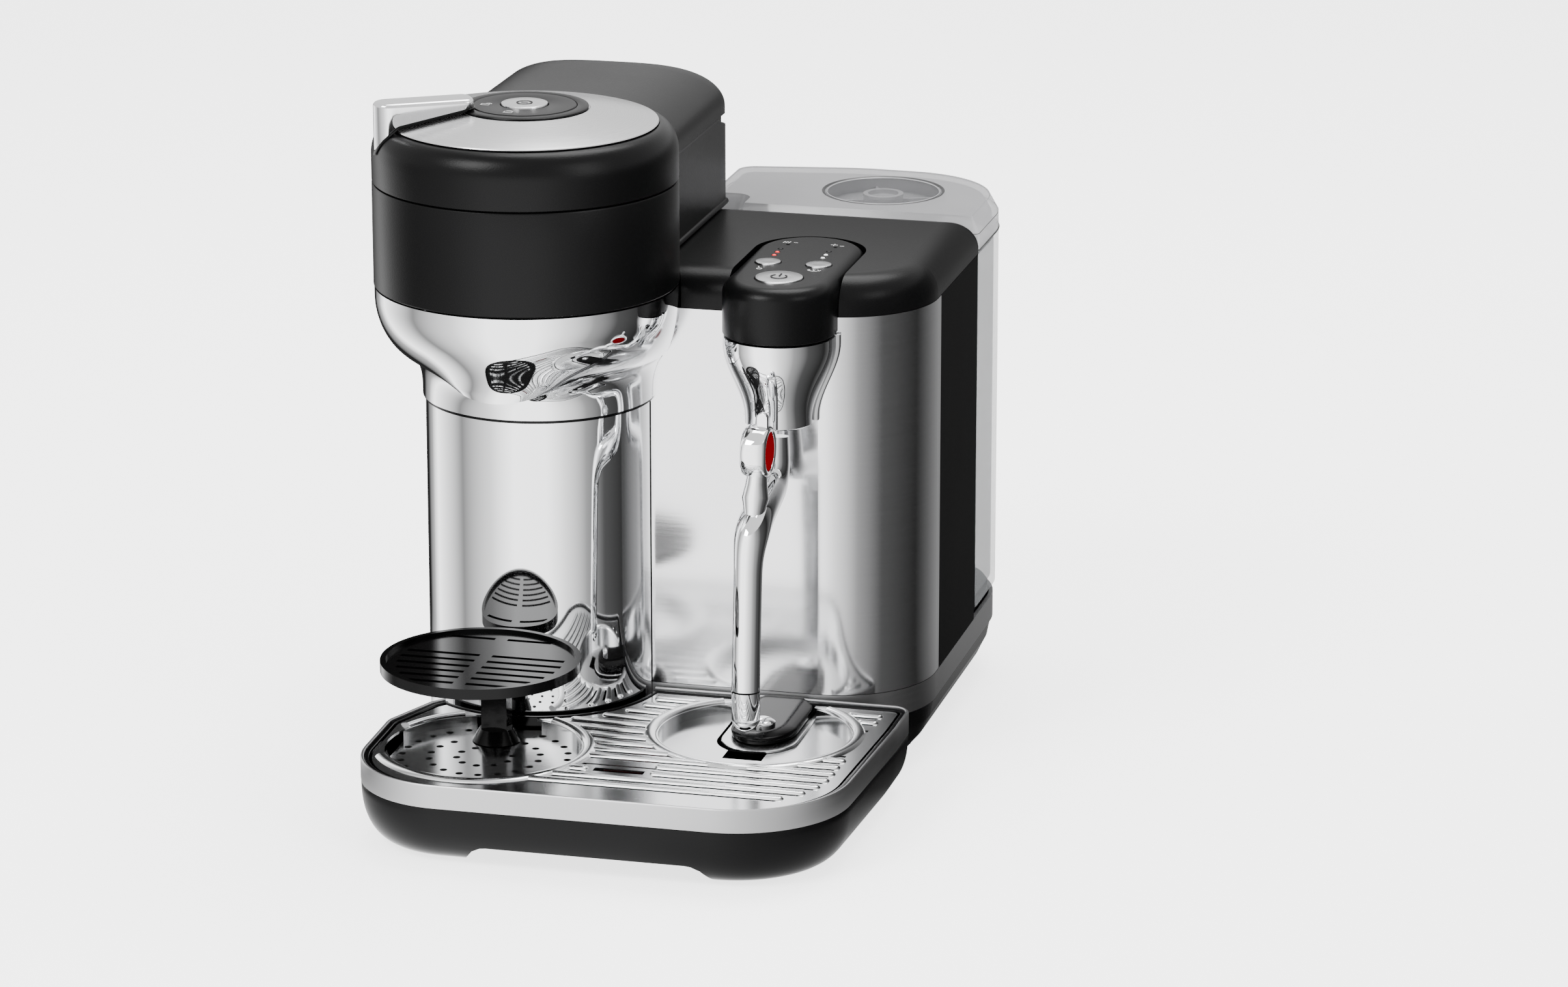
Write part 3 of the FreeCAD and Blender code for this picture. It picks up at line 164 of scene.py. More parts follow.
def clearPlastic(name, tint, alpha, rough=0.05):
    finish = Finish(name, IOR=1.49)
    haze = finish.noise(9, 2)
    finish.put("Base_Color", finish.blend(haze, tuple(c * 0.94 for c in tint), tint))
    finish.put("Roughness", finish.spread(haze, rough, rough * 2))
    finish.put("Alpha", finish.spread(haze, alpha - 0.03, alpha + 0.03))
    return finish.material


def lamp(name, colour, glow):
    finish = Finish(name, Roughness=0.3, Emission_Strength=glow)
    speck = finish.noise(900, 2)
    finish.put("Base_Color", finish.blend(speck, tuple(c * 0.85 for c in colour), colour))
    finish.put("Emission_Color", finish.blend(speck, tuple(c * 0.85 for c in colour), colour))
    return finish.material


headAxis = (-55.5 * mm, -53.5 * mm)
steamAxis = (63.1 * mm, -40.2 * mm)
finishes = {
    "satinBlack": mouldedPlastic("satinBlack", (0.0014, 0.0014, 0.0015), (0.0022, 0.0022, 0.0023), 0.31,
                                 gloss=0.12),
    "charcoal": mouldedPlastic("charcoal", (0.0016, 0.0016, 0.0017), (0.0022, 0.0022, 0.0023), 0.6,
                               gloss=0.06),
    "glossBlack": mouldedPlastic("glossBlack", (0.0008, 0.0008, 0.0009), (0.0014, 0.0014, 0.0015), 0.14, 900,
                                 0.00001, gloss=0.13),
    "darkPlastic": mouldedPlastic("darkPlastic", (0.005, 0.005, 0.0055), (0.009, 0.009, 0.0095), 0.5, 700,
                                  gloss=0.2),
    "rubber": mouldedPlastic("rubber", (0.003, 0.003, 0.003), (0.006, 0.006, 0.006), 0.8, 600, 0.00012,
                             gloss=0.1),
    "redInsert": mouldedPlastic("redInsert", (0.085, 0.0, 0.0015), (0.11, 0.0, 0.002), 0.3, 800, 0.00001,
                                gloss=0.0),
    "boardGreen": mouldedPlastic("boardGreen", (0.01, 0.11, 0.04), (0.02, 0.17, 0.07), 0.4, 300, 0.0001),
    "chrome": brightMetal("chrome", (0.90, 0.905, 0.915), 0.035, (30, 30, 30), 0.000001, 0.02),
    "panelSteel": brightMetal("panelSteel", (0.80, 0.80, 0.81), 0.13, (30, 30, 900)),
    "bandSteel": brightMetal("bandSteel", (0.42, 0.42, 0.425), 0.36, (40, 40, 2600), 0.00001),
    "pressedSteel": brightMetal("pressedSteel", (0.80, 0.805, 0.81), 0.16, (60, 700, 60)),
    "springSteel": brightMetal("springSteel", (0.6, 0.6, 0.6), 0.25, (900, 900, 40), 0.00002),
    "leverSteel": brightMetal("leverSteel", (0.86, 0.86, 0.87), 0.12, (60, 60, 60)),
    "motorSteel": brightMetal("motorSteel", (0.5, 0.5, 0.51), 0.35, (120, 120, 900), 0.00003),
    "castAluminium": brightMetal("castAluminium", (0.7, 0.7, 0.71), 0.5, (500, 500, 500), 0.0001),
    "discSteel": spunMetal("discSteel", headAxis, (0.82, 0.82, 0.825), 0.24),
    "brewKeySteel": spunMetal("brewKeySteel", headAxis, (0.84, 0.84, 0.845), 0.22),
    "powerKeySteel": spunMetal("powerKeySteel", steamAxis, (0.84, 0.84, 0.845), 0.22),
    "keySteel": brightMetal("keySteel", (0.62, 0.62, 0.63), 0.24, (700, 40, 40), 0.00001),
    # Dark grey for the beads at the tank's joints, and for the painted shade lines along the lid's edges
    "jointAndShadeGrey": mouldedPlastic("jointAndShadeGrey", (0.045, 0.045, 0.046), (0.06, 0.06, 0.061), 0.25, 900, 0.00001),
    "clearGrey": clearPlastic("clearGrey", (0.15, 0.155, 0.16), 0.44),
    "lidGrey": clearPlastic("lidGrey", (0.40, 0.40, 0.41), 0.74),
    "capGrey": clearPlastic("capGrey", (0.34, 0.34, 0.35), 0.50),
    "lampWhite": lamp("lampWhite", (0.9, 0.9, 0.9), 1.2),
    "lampRed": lamp("lampRed", (0.8, 0.01, 0.01), 1.6),
    "markWhite": mouldedPlastic("markWhite", (0.55, 0.55, 0.55), (0.62, 0.62, 0.62), 0.5, 900, 0.00001),
}
slotFinish = {
    "satin_black": "satinBlack", "charcoal_panel": "charcoal", "mirror_chrome": "chrome",
    "satin_steel": "bandSteel", "pressed_steel": "pressedSteel", "gloss_black": "glossBlack",
    "clear_grey": "clearGrey", "red_insert": "redInsert", "black_rubber": "rubber",
    "dark_plastic": "darkPlastic", "works_aluminium": "castAluminium", "spring_steel": "springSteel",
    "motor_steel": "motorSteel", "board_green": "boardGreen", "lamp_white": "lampWhite",
}
nodeFinish = {"front_panel": "panelSteel", "tank_lid": "lidGrey", "tank_cap": "capGrey"}
for part in frame["record"]["subparts"]:
    obj = nodes[part["node"]]
    chosen = finishes[nodeFinish.get(part["node"], slotFinish[part["material_slot"]])]
    obj.data.materials.clear()
    obj.data.materials.append(chosen)
print("finishes ready", len(finishes))


# Mesh helpers, in millimetres; a ring is a list of points
def angles(total, steps):
    # Even angles from 0 to total, both included
    return [total * k / steps for k in range(steps + 1)]


def circleRing(centre, radius, z, steps=128):
    return [(centre[0] + radius * math.cos(a), centre[1] + radius * math.sin(a), z)
            for a in angles(2 * math.pi, steps)[:-1]]


def insetOutline(corners, inset):
    # Moves the edges of an anticlockwise outline of (x, y, radius) inwards
    lines, moved = [], []
    for i, (x, y, _) in enumerate(corners):
        nx, ny, _ = corners[(i + 1) % len(corners)]
        run = math.hypot(nx - x, ny - y)
        ux, uy = (nx - x) / run, (ny - y) / run
        lines.append((x - uy * inset, y + ux * inset, ux, uy))
    for i, corner in enumerate(corners):
        ax, ay, aux, auy = lines[i - 1]
        bx, by, bux, buy = lines[i]
        cross = aux * buy - auy * bux
        step = ((bx - ax) * buy - (by - ay) * bux) / cross
        shrink = inset if cross > 0 else -inset
        moved.append((ax + aux * step, ay + auy * step, max(corner[2] - shrink, 0.5)))
    return moved


def outlineRing(corners, z, inset=0.0, arcSteps=10):
    # Outline of (x, y, radius) corners as points, with arcSteps on each rounded corner
    corners = insetOutline(corners, inset) if inset else corners
    ring = []
    for i, (x, y, radius) in enumerate(corners):
        px, py, _ = corners[i - 1]
        nx, ny, _ = corners[(i + 1) % len(corners)]
        back, ahead = math.hypot(px - x, py - y), math.hypot(nx - x, ny - y)
        ux, uy, wx, wy = (px - x) / back, (py - y) / back, (nx - x) / ahead, (ny - y) / ahead
        half = math.acos(max(-1.0, min(1.0, ux * wx + uy * wy))) / 2
        reach = radius / math.tan(half)
        bx, by = ux + wx, uy + wy
        far = radius / math.sin(half) / math.hypot(bx, by)
        cx, cy = x + bx * far, y + by * far
        a0 = math.atan2(y + uy * reach - cy, x + ux * reach - cx)
        a1 = math.atan2(y + wy * reach - cy, x + wx * reach - cx)
        turn = (a1 - a0 + math.pi) % (2 * math.pi) - math.pi
        ring += [(cx + radius * math.cos(a0 + a), cy + radius * math.sin(a0 + a), z)
                 for a in angles(turn, arcSteps)]
    return ring


def halfRing(x, y, radius, z, start, steps):
    return [(x + radius * math.cos(start + a), y + radius * math.sin(start + a), z)
            for a in angles(math.pi, steps)]


def stadiumRing(x, yFront, yBack, radius, z):
    return halfRing(x, yFront, radius, z, math.pi, 32) + halfRing(x, yBack, radius, z, 0.0, 32)


def bayRing(x, yFront, yBack, radius, z):
    # Half circle at the front with straight sides back to yBack
    return halfRing(x, yFront, radius, z, math.pi, 40) + [(x + radius, yBack, z), (x - radius, yBack, z)]


def skin(rings, capped=True, looped=False, openRing=False):
    # Joins rings of equal length with four-sided faces
    count = len(rings[0])
    points = [p for ring in rings for p in ring]
    faces = []
    for i in range(len(rings) if looped else len(rings) - 1):
        a, b = i * count, (i + 1) % len(rings) * count
        for k in range(count - 1 if openRing else count):
            n = (k + 1) % count
            faces.append((a + k, a + n, b + n, b + k))
    if capped and not looped:
        faces.append(tuple(range(count))[::-1])
        faces.append(tuple(range((len(rings) - 1) * count, len(rings) * count)))
    return points, faces


def turned(centre, profile, steps=128, looped=True):
    # Closed (radius, z) profile turned about a vertical axis
    return skin([circleRing(centre, r, z, steps) for r, z in profile], capped=not looped, looped=looped)


def turnedAcross(centre, profile, steps, looped=True):
    # The same about an axis along X; profile is (radius, x), centre is (y, z)
    rings = [[(x, y, z) for y, z, _ in circleRing(centre, r, 0, steps)] for r, x in profile]
    return skin(rings, capped=not looped, looped=looped)


def levels(corners, steps, **how):
    # Rings of one outline at (z, inset) steps
    return [outlineRing(corners, z, inset, **how) for z, inset in steps]


def addPiece(name, parts, finish, body, stands=(), sharp=34):
    points, faces = [], []
    for partPoints, partFaces in parts:
        faces += [tuple(i + len(points) for i in face) for face in partFaces]
        points += partPoints
    mesh = bpy.data.meshes.new(name)
    mesh.from_pydata([(x * mm, y * mm, z * mm) for x, y, z in points], [], faces)
    shape = bmesh.new()
    shape.from_mesh(mesh)
    bmesh.ops.remove_doubles(shape, verts=shape.verts, dist=0.004 * mm)
    bmesh.ops.recalc_face_normals(shape, faces=shape.faces)
    shape.to_mesh(mesh)
    shape.free()
    obj = bpy.data.objects.new(name, mesh)
    bpy.context.scene.collection.objects.link(obj)
    mesh.materials.append(finishes[finish])
    smooth(obj, sharp)
    if body:
        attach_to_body(obj, body)
    if stands:
        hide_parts(*stands)
    return obj


def smooth(obj, sharp):
    for face in obj.data.polygons:
        face.use_smooth = True
    obj.data.set_sharp_from_angle(angle=math.radians(sharp))


def carve(obj, cutters, sharp=34):
    # Applies the piece's modifiers with the closed shapes cut out of it, and removes those shapes
    for shape in cutters:
        cut = obj.modifiers.new("cut", "BOOLEAN")
        cut.operation, cut.solver, cut.object = "DIFFERENCE", "EXACT", shape
    bpy.context.view_layer.update()
    made = bpy.data.meshes.new_from_object(obj.evaluated_get(bpy.context.evaluated_depsgraph_get()))
    obj.modifiers.clear()
    made.materials.clear()
    made.materials.append(obj.data.materials[0])
    obj.data = made
    for shape in cutters:
        bpy.data.objects.remove(shape)
    smooth(obj, sharp)


def cutter(parts):
    return addPiece("cutter", parts, "rubber", None)


# Brewing head
head = {"centre": (-55.5, -53.5), "radius": 71.8, "bandTop": 290.6, "humpHalf": 56.5, "humpRear": 104.0,
        "wallStart": -9.6, "wallRun": 105, "corner": 5.0, "sill": 285.4, "sillFrom": 92, "earRadius": 5.5,
        "crest": 314.0, "spring": 295.0, "bulge": 3.4, "seam": 291.0, "hingeY": 97.0, "hingeZ": 293.0,
        "barrelHalf": 46.4, "shoulderZ": 303.4, "shoulderWide": 9.2, "shoulderHigh": 13.6, "wall": 2.6}
headX, headY = head["centre"]


def makeHeadBand():
    radius, top, half, rear = head["radius"], head["bandTop"], head["humpHalf"], head["humpRear"]
    drum = turned(head["centre"], [
        (70.4, 241.0), (71.3, 241.2), (radius, 241.8), (radius, 289.6), (71.5, 290.3), (70.8, top),
        (69.5, top), (69.2, 290.2), (69.2, 243.6), (45.2, 243.4), (45.0, 241.2)])

    def wallRing(z, inset):
        # U round the back of the hump, from one side of the drum to the other, lower behind the hinge
        side, back, corner = headX + (half - inset), rear - inset, head["corner"]
        ring = [(side, head["wallStart"] + head["wallRun"] * k / 12, z) for k in range(12)]
        ring += [(side - corner + corner * math.cos(a), back - corner + corner * math.sin(a), z)
                 for a in angles(math.pi / 2, 12)]
        ring += [(2 * headX - x, y, z) for x, y, _ in reversed(ring)]
        return [(x, y, min(z, head["sill"]) if y > head["sillFrom"] else z) for x, y, z in ring]
    walls = skin([wallRing(z, inset) for z, inset in (
        (245.4, 0.6), (245.5, -0.7), (246.2, -1.2), (247.0, -1.2), (247.8, -0.8), (248.2, 0.0), (289.9, 0.0),
        (290.5, 0.5), (290.5, 2.2), (290.0, 2.6), (248.0, 2.6), (245.4, 2.8))], looped=True, openRing=True)
    y0, z0, r = head["hingeY"], head["hingeZ"], head["earRadius"]
    rim = [(y0 - 6, 262), (y0 + 6, 262)]
    rim += [(y0 + r * math.cos(a), z0 + r * math.sin(a)) for a in angles(math.pi, 12)]
    ears = [skin([[(headX + side * 52.0 + dx, y, z) for y, z in rim] for dx in (-1.6, 1.6)])
            for side in (-1, 1)]
    floor = skin([[(headX + sx * 53, y, z) for sx, y in ((-1, -6), (1, -6), (1, 100), (-1, 100))]
                  for z in (245.5, 247.4)])
    addPiece("headBand", [drum, walls, floor] + ears, "satinBlack", "chassis", ["head_housing"])


def humpArch(shrink, z0):
    # Arch across the hump as (x, z), from the right foot over the crest to the left foot
    half, crest, spring = head["humpHalf"] - shrink, head["crest"] - shrink, head["spring"]
    side = [(half, z0)]
    for a in angles(math.pi / 2, 40):
        x = half * math.cos(a) ** (2 / head["bulge"])
        rise = math.sqrt(max(0.0, 1 - (x / half) ** head["bulge"]))
        side.append((x, spring + (crest - spring) * rise))
    return [(headX + x, z) for x, z in side] + [(headX - x, z) for x, z in reversed(side[:-1])]


def makeLid():
    seam, radius, rear, low = head["seam"], head["radius"], head["humpRear"], head["shoulderZ"]
    shoulder = [(radius - head["shoulderWide"] * (1 - math.cos(a)), low + head["shoulderHigh"] * math.sin(a))
                for a in angles(math.pi / 2, 12)[1:-1]]
    ring = turned(head["centre"], [
        (69.3, seam), (71.2, seam), (71.7, seam + 0.4), (radius, seam + 1.0), (radius, low), *shoulder,
        (62.9, 316.9), (62.3, 316.5), (27.4, 316.4), (27.0, 314.0), (58.0, 313.6), (62.0, 312.4),
        (66.5, 308.8), (69.0, 303.0)])
    stations = [(y, 0.0) for y in (-9.2, 10, 40, 70, 90)]
    stations += [(rear - 6 * (1 - math.sin(a)), 6 * (1 - math.cos(a))) for a in angles(math.pi / 2, 7)]
    rings = []
    for y, shrink in stations:
        outer, inner = humpArch(shrink, seam), humpArch(max(head["wall"], shrink + 0.4), seam)
        rings.append([(x, y, z) for x, z in outer + inner[::-1]])
    back = skin([[(x, y, z) for x, z in humpArch(5.2, 299.0)] for y in (rear - head["wall"], rear - 0.02)])
    end = head["barrelHalf"]
    barrel = turnedAcross((head["hingeY"], head["hingeZ"]), [
        (2.3, headX - end), (6.4, headX - end), (7.0, headX - end + 0.6), (7.0, headX + end - 0.6),
        (6.4, headX + end), (2.3, headX + end)], 40)
    addPiece("lidShell", [ring, skin(rings), back, barrel], "satinBlack", "lid", ["lid_shell"])
    addPiece("lidDisc", [turned(head["centre"], [
        (27.0, 322.4), (61.0, 317.0), (62.3, 317.2), (62.6, 317.7), (62.3, 318.1), (61.5, 318.35),
        (46.0, 321.45), (31.3, 324.1), (30.8, 324.2), (30.4, 323.9), (27.0, 323.8)], 160)],
        "discSteel", "lid", ["lid_disc"])
    addPiece("pivotDisc", [
        turned(head["centre"], [(24.2, 322.6), (24.35, 325.1), (24.0, 325.45), (12.2, 325.7), (11.5, 325.5),
                                (11.25, 325.0), (11.25, 322.6)], 96),
        turned(head["centre"], [(16.0, 313.0), (16.0, 322.7), (13.4, 322.7), (13.4, 313.0)], 64),
        turned(head["centre"], [(0.01, 312.2), (26.4, 312.2), (26.4, 314.0), (0.01, 314.0)], 64)],
        "satinBlack", "lid", ["pivot_disc"])
    addPiece("leverRing", [turned(head["centre"], [
        (24.7, 324.4), (29.7, 324.25), (30.0, 324.6), (29.8, 325.0), (29.3, 325.2), (25.1, 325.33),
        (24.7, 325.1)], 96)], "satinBlack", "lever", ["lever_ring"])


lever = {"angle": 211.0, "inner": 24.6, "outer": 72.0, "half": 7.5, "top": 331.0, "edge": 1.8}


def leverFloor(radius):
    # Height of the lid's surface under the lever
    spots = [(0, 325.2), (30.6, 325.2), (31.4, 324.6), (62.6, 318.7), (66.5, 315.6), (69.5, 312.2),
             (71.2, 309.0), (72.4, 305.6)]
    for (r0, z0), (r1, z1) in zip(spots, spots[1:]):
        if radius <= r1:
            return z0 + (z1 - z0) * (radius - r0) / (r1 - r0)
    return spots[-1][1]


def makeLever():
    near, far, half = lever["inner"] + lever["half"] * 0.6, lever["outer"] - lever["half"], lever["half"]
    count, tip, tail = 96, 36, 84

    def plan(grow):
        # 24 points for each side and each round end, with tip and tail in the middle of the ends
        wide = half + grow
        ring = [(near + (far - near) * k / 24, -wide) for k in range(24)]
        ring += [(far + wide * math.sin(a), -wide * math.cos(a)) for a in angles(math.pi, 24)[:-1]]
        ring += [(far - (far - near) * k / 24, wide) for k in range(24)]
        ring += [(near - (near - lever["inner"] + grow) * math.sin(a), wide * math.cos(a))
                 for a in angles(math.pi, 24)[:-1]]
        return ring

    def placed(spots, lift):
        turn = math.radians(lever["angle"])
        ux, uy = math.cos(turn), math.sin(turn)
        return [(headX + u * ux - v * uy, headY + u * uy + v * ux, lift(math.hypot(u, v))) for u, v in spots]

    def above(gap):
        return lambda radius: leverFloor(radius) + gap

    def crowned(height):
        return lambda radius: max(height, leverFloor(radius) + 2.0)

    def underneath(shape):
        # Closes the first ring with strips across the lever, so that it follows the lid
        points, faces = shape
        strips = [tuple(k % count for k in (i, i + 1, 2 * tip - 1 - i, 2 * tip - i))
                  for i in range(tail - count + 1, tip - 1)]
        return points, faces + strips + [(end - 1, end, end + 1) for end in (tip, tail)]
    top, edge = lever["top"], lever["edge"]
    rings = [placed(plan(grow), above(gap)) for grow, gap in ((-1.4, 1.35), (-0.3, 1.45), (0, 1.9))]
    rings += [placed(plan(-edge * (1 - math.cos(a))), crowned(top - edge + edge * math.sin(a)))
              for a in angles(math.pi / 2, 6)]
    points, faces = underneath(skin(rings, capped=False))
    cap = [tuple(range((len(rings) - 1) * count, len(rings) * count))]
    addPiece("lockLever", [(points, faces + cap)], "leverSteel", "lever", ["lock_lever"],
             50)
    gasket = [placed(plan(grow), above(gap)) for grow, gap in (
        (-1.0, 0.35), (0.2, 0.35), (0.5, 0.7), (0.45, 1.35), (0.0, 1.6))]
    addPiece("leverGasket", [underneath(skin(gasket, capped=False))], "glossBlack", "lever",
             sharp=50)


bowl = {"columnCentre": (-55.5, -34.0), "neck": 55.5, "top": 240.5, "topRadius": 71.4, "lipOut": 56.6,
        "lipZ": 196.0, "sideZ": 204.5, "lipWidth": 0.62, "foot": 182.7, "columns": 120, "spread": 112,
        "rearRoom": 19.2}


def makeBowl():
    shift, columns, spread = bowl["columnCentre"][1] - headY, bowl["columns"], bowl["spread"]
    outer = bowl["topRadius"]
    rings = []
    for k in range(columns + 1):
        phi = math.radians(-spread + 2 * spread * k / columns)
        front = math.exp(-(phi / bowl["lipWidth"]) ** 2)
        neck = -shift * math.cos(phi) + math.sqrt(bowl["neck"] ** 2 - (shift * math.sin(phi)) ** 2)
        rim = (neck + 6.0) * (1 - front) + bowl["lipOut"] * front
        rimZ = bowl["sideZ"] * (1 - front) + bowl["lipZ"] * front
        limit = bowl["rearRoom"] / -math.cos(phi) if abs(phi) > 1.7 else math.inf
        spots = []
        for step in range(31):
            t = step / 30
            bend = max(0.0, (t - 0.12) / 0.88)
            soft = bend ** 1.25
            frontShape = soft * soft * (3 - 2 * soft)
            sideShape = 1 - (1 - bend ** 1.9) ** 0.6
            shape = frontShape * front + sideShape * (1 - front)
            spots.append((outer - (outer - rim) * shape, bowl["top"] - (bowl["top"] - rimZ) * t))
        attach = (rim - 1.2) * (1 - front) + (neck + 0.4) * front
        attachZ = rimZ - 1.6 * (1 - front) + 0.8 * front
        spots.append((rim - 0.5, rimZ - 0.35 * (1 - front) + 0.1 * front))
        spots += [(rim - 0.5 + (attach - rim + 0.5) * step / 6, rimZ + (attachZ - rimZ) * step / 6)
                  for step in range(1, 7)]
        for step in range(1, 17):
            t = 1 - step / 16
            spots.append((neck + (attach - neck) * t ** 3.0, bowl["foot"] + (attachZ - bowl["foot"]) * t))
        rings.append([(headX + min(r, limit) * math.sin(phi), headY - min(r, limit) * math.cos(phi), z)
                      for r, z in spots])
    obj = addPiece("brewBowl", [skin(rings, capped=False, openRing=True)], "chrome", None, sharp=60)
    wall = obj.modifiers.new("wall", "SOLIDIFY")
    wall.thickness, wall.offset = 1.4 * mm, -1.0
    carve(obj, [])
    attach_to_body(obj, "chassis")
    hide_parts("brew_bowl")


makeHeadBand()
makeLid()
makeLever()
makeBowl()
print("brewing head ready")


# Steam side
def stroke(spots, width, height=0.14):
    # Flat ribbon along (x, y, z) spots
    rings = []
    for i, (x, y, z) in enumerate(spots):
        ax, ay, _ = spots[max(i - 1, 0)]
        bx, by, _ = spots[min(i + 1, len(spots) - 1)]
        run = math.hypot(bx - ax, by - ay) or 1.0
        nx, ny = -(by - ay) / run * width / 2, (bx - ax) / run * width / 2
        rings.append([(x + nx, y + ny, z), (x - nx, y - ny, z), (x - nx, y - ny, z + height),
                      (x + nx, y + ny, z + height)])
    return skin(rings)


def arcSpots(x, y, z, radius, start, end, steps=28):
    turns = [math.radians(start + (end - start) * k / steps) for k in range(steps + 1)]
    return [(x + radius * math.cos(a), y + radius * math.sin(a), z) for a in turns]


steam = {"x": 63.1, "frontY": -40.2, "rearY": 20.0, "radius": 26.6, "capLow": 220.0, "capTop": 246.3,
         "edge": 7.0, "panelY": -34.0, "funnelLow": 177.5, "funnelTop": 219.6, "funnelRadius": 16.2,
         "keyTop": 247.0, "smallKeyX": 12.3, "smallKeyY": -12.4, "holeDepth": 9.5}
lights = {"leftX": -12.9, "rightX": 10.8, "firstY": 2.0, "pitch": 6.1, "radius": 1.15}


def makeSteamCap():
    x, front, rear, radius = steam["x"], steam["frontY"], steam["rearY"], steam["radius"]
    low, top, edge = steam["capLow"], steam["capTop"], steam["edge"]
    steps = [(low, 1.0), (low + 0.3, 0.35), (low + 0.9, 0.0)]
    steps += [(top - edge * (1 - math.sin(a)), edge * (1 - math.cos(a))) for a in angles(math.pi / 2, 9)]
    cap = addPiece("steamCap", [skin([stadiumRing(x, front, rear, radius - inset, z) for z, inset in steps])],
                   "satinBlack", None)
    holes = [(x, front, 11.65)]
    holes += [(x + side * steam["smallKeyX"], steam["smallKeyY"], 6.4) for side in (-1, 1)]
    holes += [(x + side, lights["firstY"] + lights["pitch"] * i, lights["radius"] + 0.15)
              for side in (lights["leftX"], lights["rightX"]) for i in range(3)]
    holes += [(x + side, 23.0, 0.9) for side in (lights["leftX"] + 1.5, lights["rightX"] + 1.0)]
    heights = (top - steam["holeDepth"], top - 0.15, top + 0.3)
    carve(cap, [cutter([skin([circleRing((hx, hy), r + 0.5 * (z > top), z, 40) for z in heights])])
                for hx, hy, r in holes])
    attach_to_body(cap, "chassis")
    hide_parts("steam_cap")


def makeLights():
    x, top = steam["x"], steam["capTop"]
    looks = {"lightsRed": ("lampRed", [(lights["leftX"], 0), (lights["leftX"], 1)]),
             "lightsWhite": ("lampWhite", [(lights["rightX"], 0), (lights["rightX"], 1)]),
             "lightsOff": ("darkPlastic", [(lights["leftX"], 2), (lights["rightX"], 2)])}
    for name, (finish, spots) in looks.items():
        domes = [turned((x + side, lights["firstY"] + lights["pitch"] * i), [
            (lights["radius"], top - 6.0), (lights["radius"], top - 0.3), (lights["radius"] * 0.8, top + 0.1),
            (lights["radius"] * 0.4, top + 0.3), (0.02, top + 0.35)], 24, looped=False) for side, i in spots]
        addPiece(name, domes, finish, "chassis", ["status_leds"] if name == "lightsRed" else ())


def makeMarks():
    # Small plain symbols beside the keys and on them
    x, front, z, key = steam["x"], steam["frontY"], steam["capTop"] + 0.02, steam["keyTop"] + 0.05
    left, right, fine = x + lights["leftX"], x + lights["rightX"], 0.45
    parts = []
    for dx in (-2.1, 0.0, 2.1):
        sway = [(x + 12.3 + dx + 0.45 * math.sin(k * 0.9), -24.2 + k * 0.55, z) for k in range(6)]
        parts.append(stroke(sway, 0.5))
    parts += [stroke(arcSpots(x + 12.6, -21.2, z, 3.4, 200, 340, 12), 0.5),
              stroke([(x - 14.6, -21.5, z), (x - 13.4, -24.6, z)], 0.6),
              stroke(arcSpots(x - 13.2, -25.6, z, 1.2, 0, 360, 20), fine),
              stroke([(right - 2.2, 27.2, z), (right + 1.2, 27.2, z)], fine),
              stroke([(right - 0.5, 25.5, z), (right - 0.5, 28.9, z)], fine),
              stroke([(right + 2.6, 25.6, z), (right + 4.6, 25.6, z)], fine),
              stroke([(left + 3.4, 27.0, z), (left + 5.4, 27.0, z)], fine)]
    parts += [stroke([(left - 1.6 + 1.3 * i, 25.6, z), (left - 1.0 + 1.3 * i, 28.6, z)], fine)
              for i in range(3)]
    addPiece("capMarks", parts, "markWhite", "chassis")
    addPiece("powerMark", [stroke(arcSpots(x, front, key, 3.7, 128, 412), 0.75, 0.1),
                           stroke([(x, front + 0.6, key), (x, front + 5.4, key)], 0.75, 0.1)],
             "darkPlastic", "power_key")
    brewZ, lockZ = 326.45, 325.56
    addPiece("brewMark", [stroke(arcSpots(headX, headY, brewZ, 3.5, 0, 360), 0.7, 0.1),
                          stroke([(headX - 1.6, headY, brewZ), (headX + 1.6, headY, brewZ)], 0.7, 0.1)],
             "darkPlastic", "brew_key")
    locks = []
    for angle, opened in ((196, 1.3), (262, 0.0)):
        lx, ly, _ = arcSpots(headX, headY, lockZ, 18.2, angle, angle, 1)[0]
        square = [(lx + dx, ly + dy, lockZ) for dx, dy in (
            (-1.9, -1.5), (1.9, -1.5), (1.9, 1.2), (-1.9, 1.2), (-1.9, -1.7))]
        locks += [stroke(square, 0.42), stroke(arcSpots(lx + opened, ly + 1.2, lockZ, 1.3, 0, 180, 12), 0.42)]
    addPiece("lockMarks", locks, "markWhite", "lid")


def makeKeys():
    # Turned key caps with a fine bevel, each on its own stem
    x, y, top = steam["x"], steam["smallKeyY"], steam["keyTop"]
    keys = (("brewKey", "brew_key", "brew_button", head["centre"], 10.9, 326.4, 10.0, "brewKeySteel"),
            ("powerKey", "power_key", "power_button", (x, steam["frontY"]), 11.3, top, 6.0, "powerKeySteel"),
            ("milkTempKey", "milk_temp_key", "milk_temp_button", (x - steam["smallKeyX"], y), 6.1, top, 6.0,
             "keySteel"),
            ("milkFoamKey", "milk_foam_key", "milk_foam_button", (x + steam["smallKeyX"], y), 6.1, top, 6.0,
             "keySteel"))
    for name, body, node, spot, r, z, depth, finish in keys:
        profile = [(r * 0.4, z - depth), (r * 0.4, z - 3.2), (r, z - 3.0), (r, z - 0.45),
                   (r - 0.12, z - 0.15), (r - 0.45, z), (r * 0.5, z - 0.06), (0.02, z - 0.1)]
        addPiece(name, [turned(spot, profile, 96, looped=False)], finish, body, [node])


knob = {"y": -80.0, "z": 173.5, "tabX": 2.5, "tabFoot": 182.0, "tabArc": 189.8}


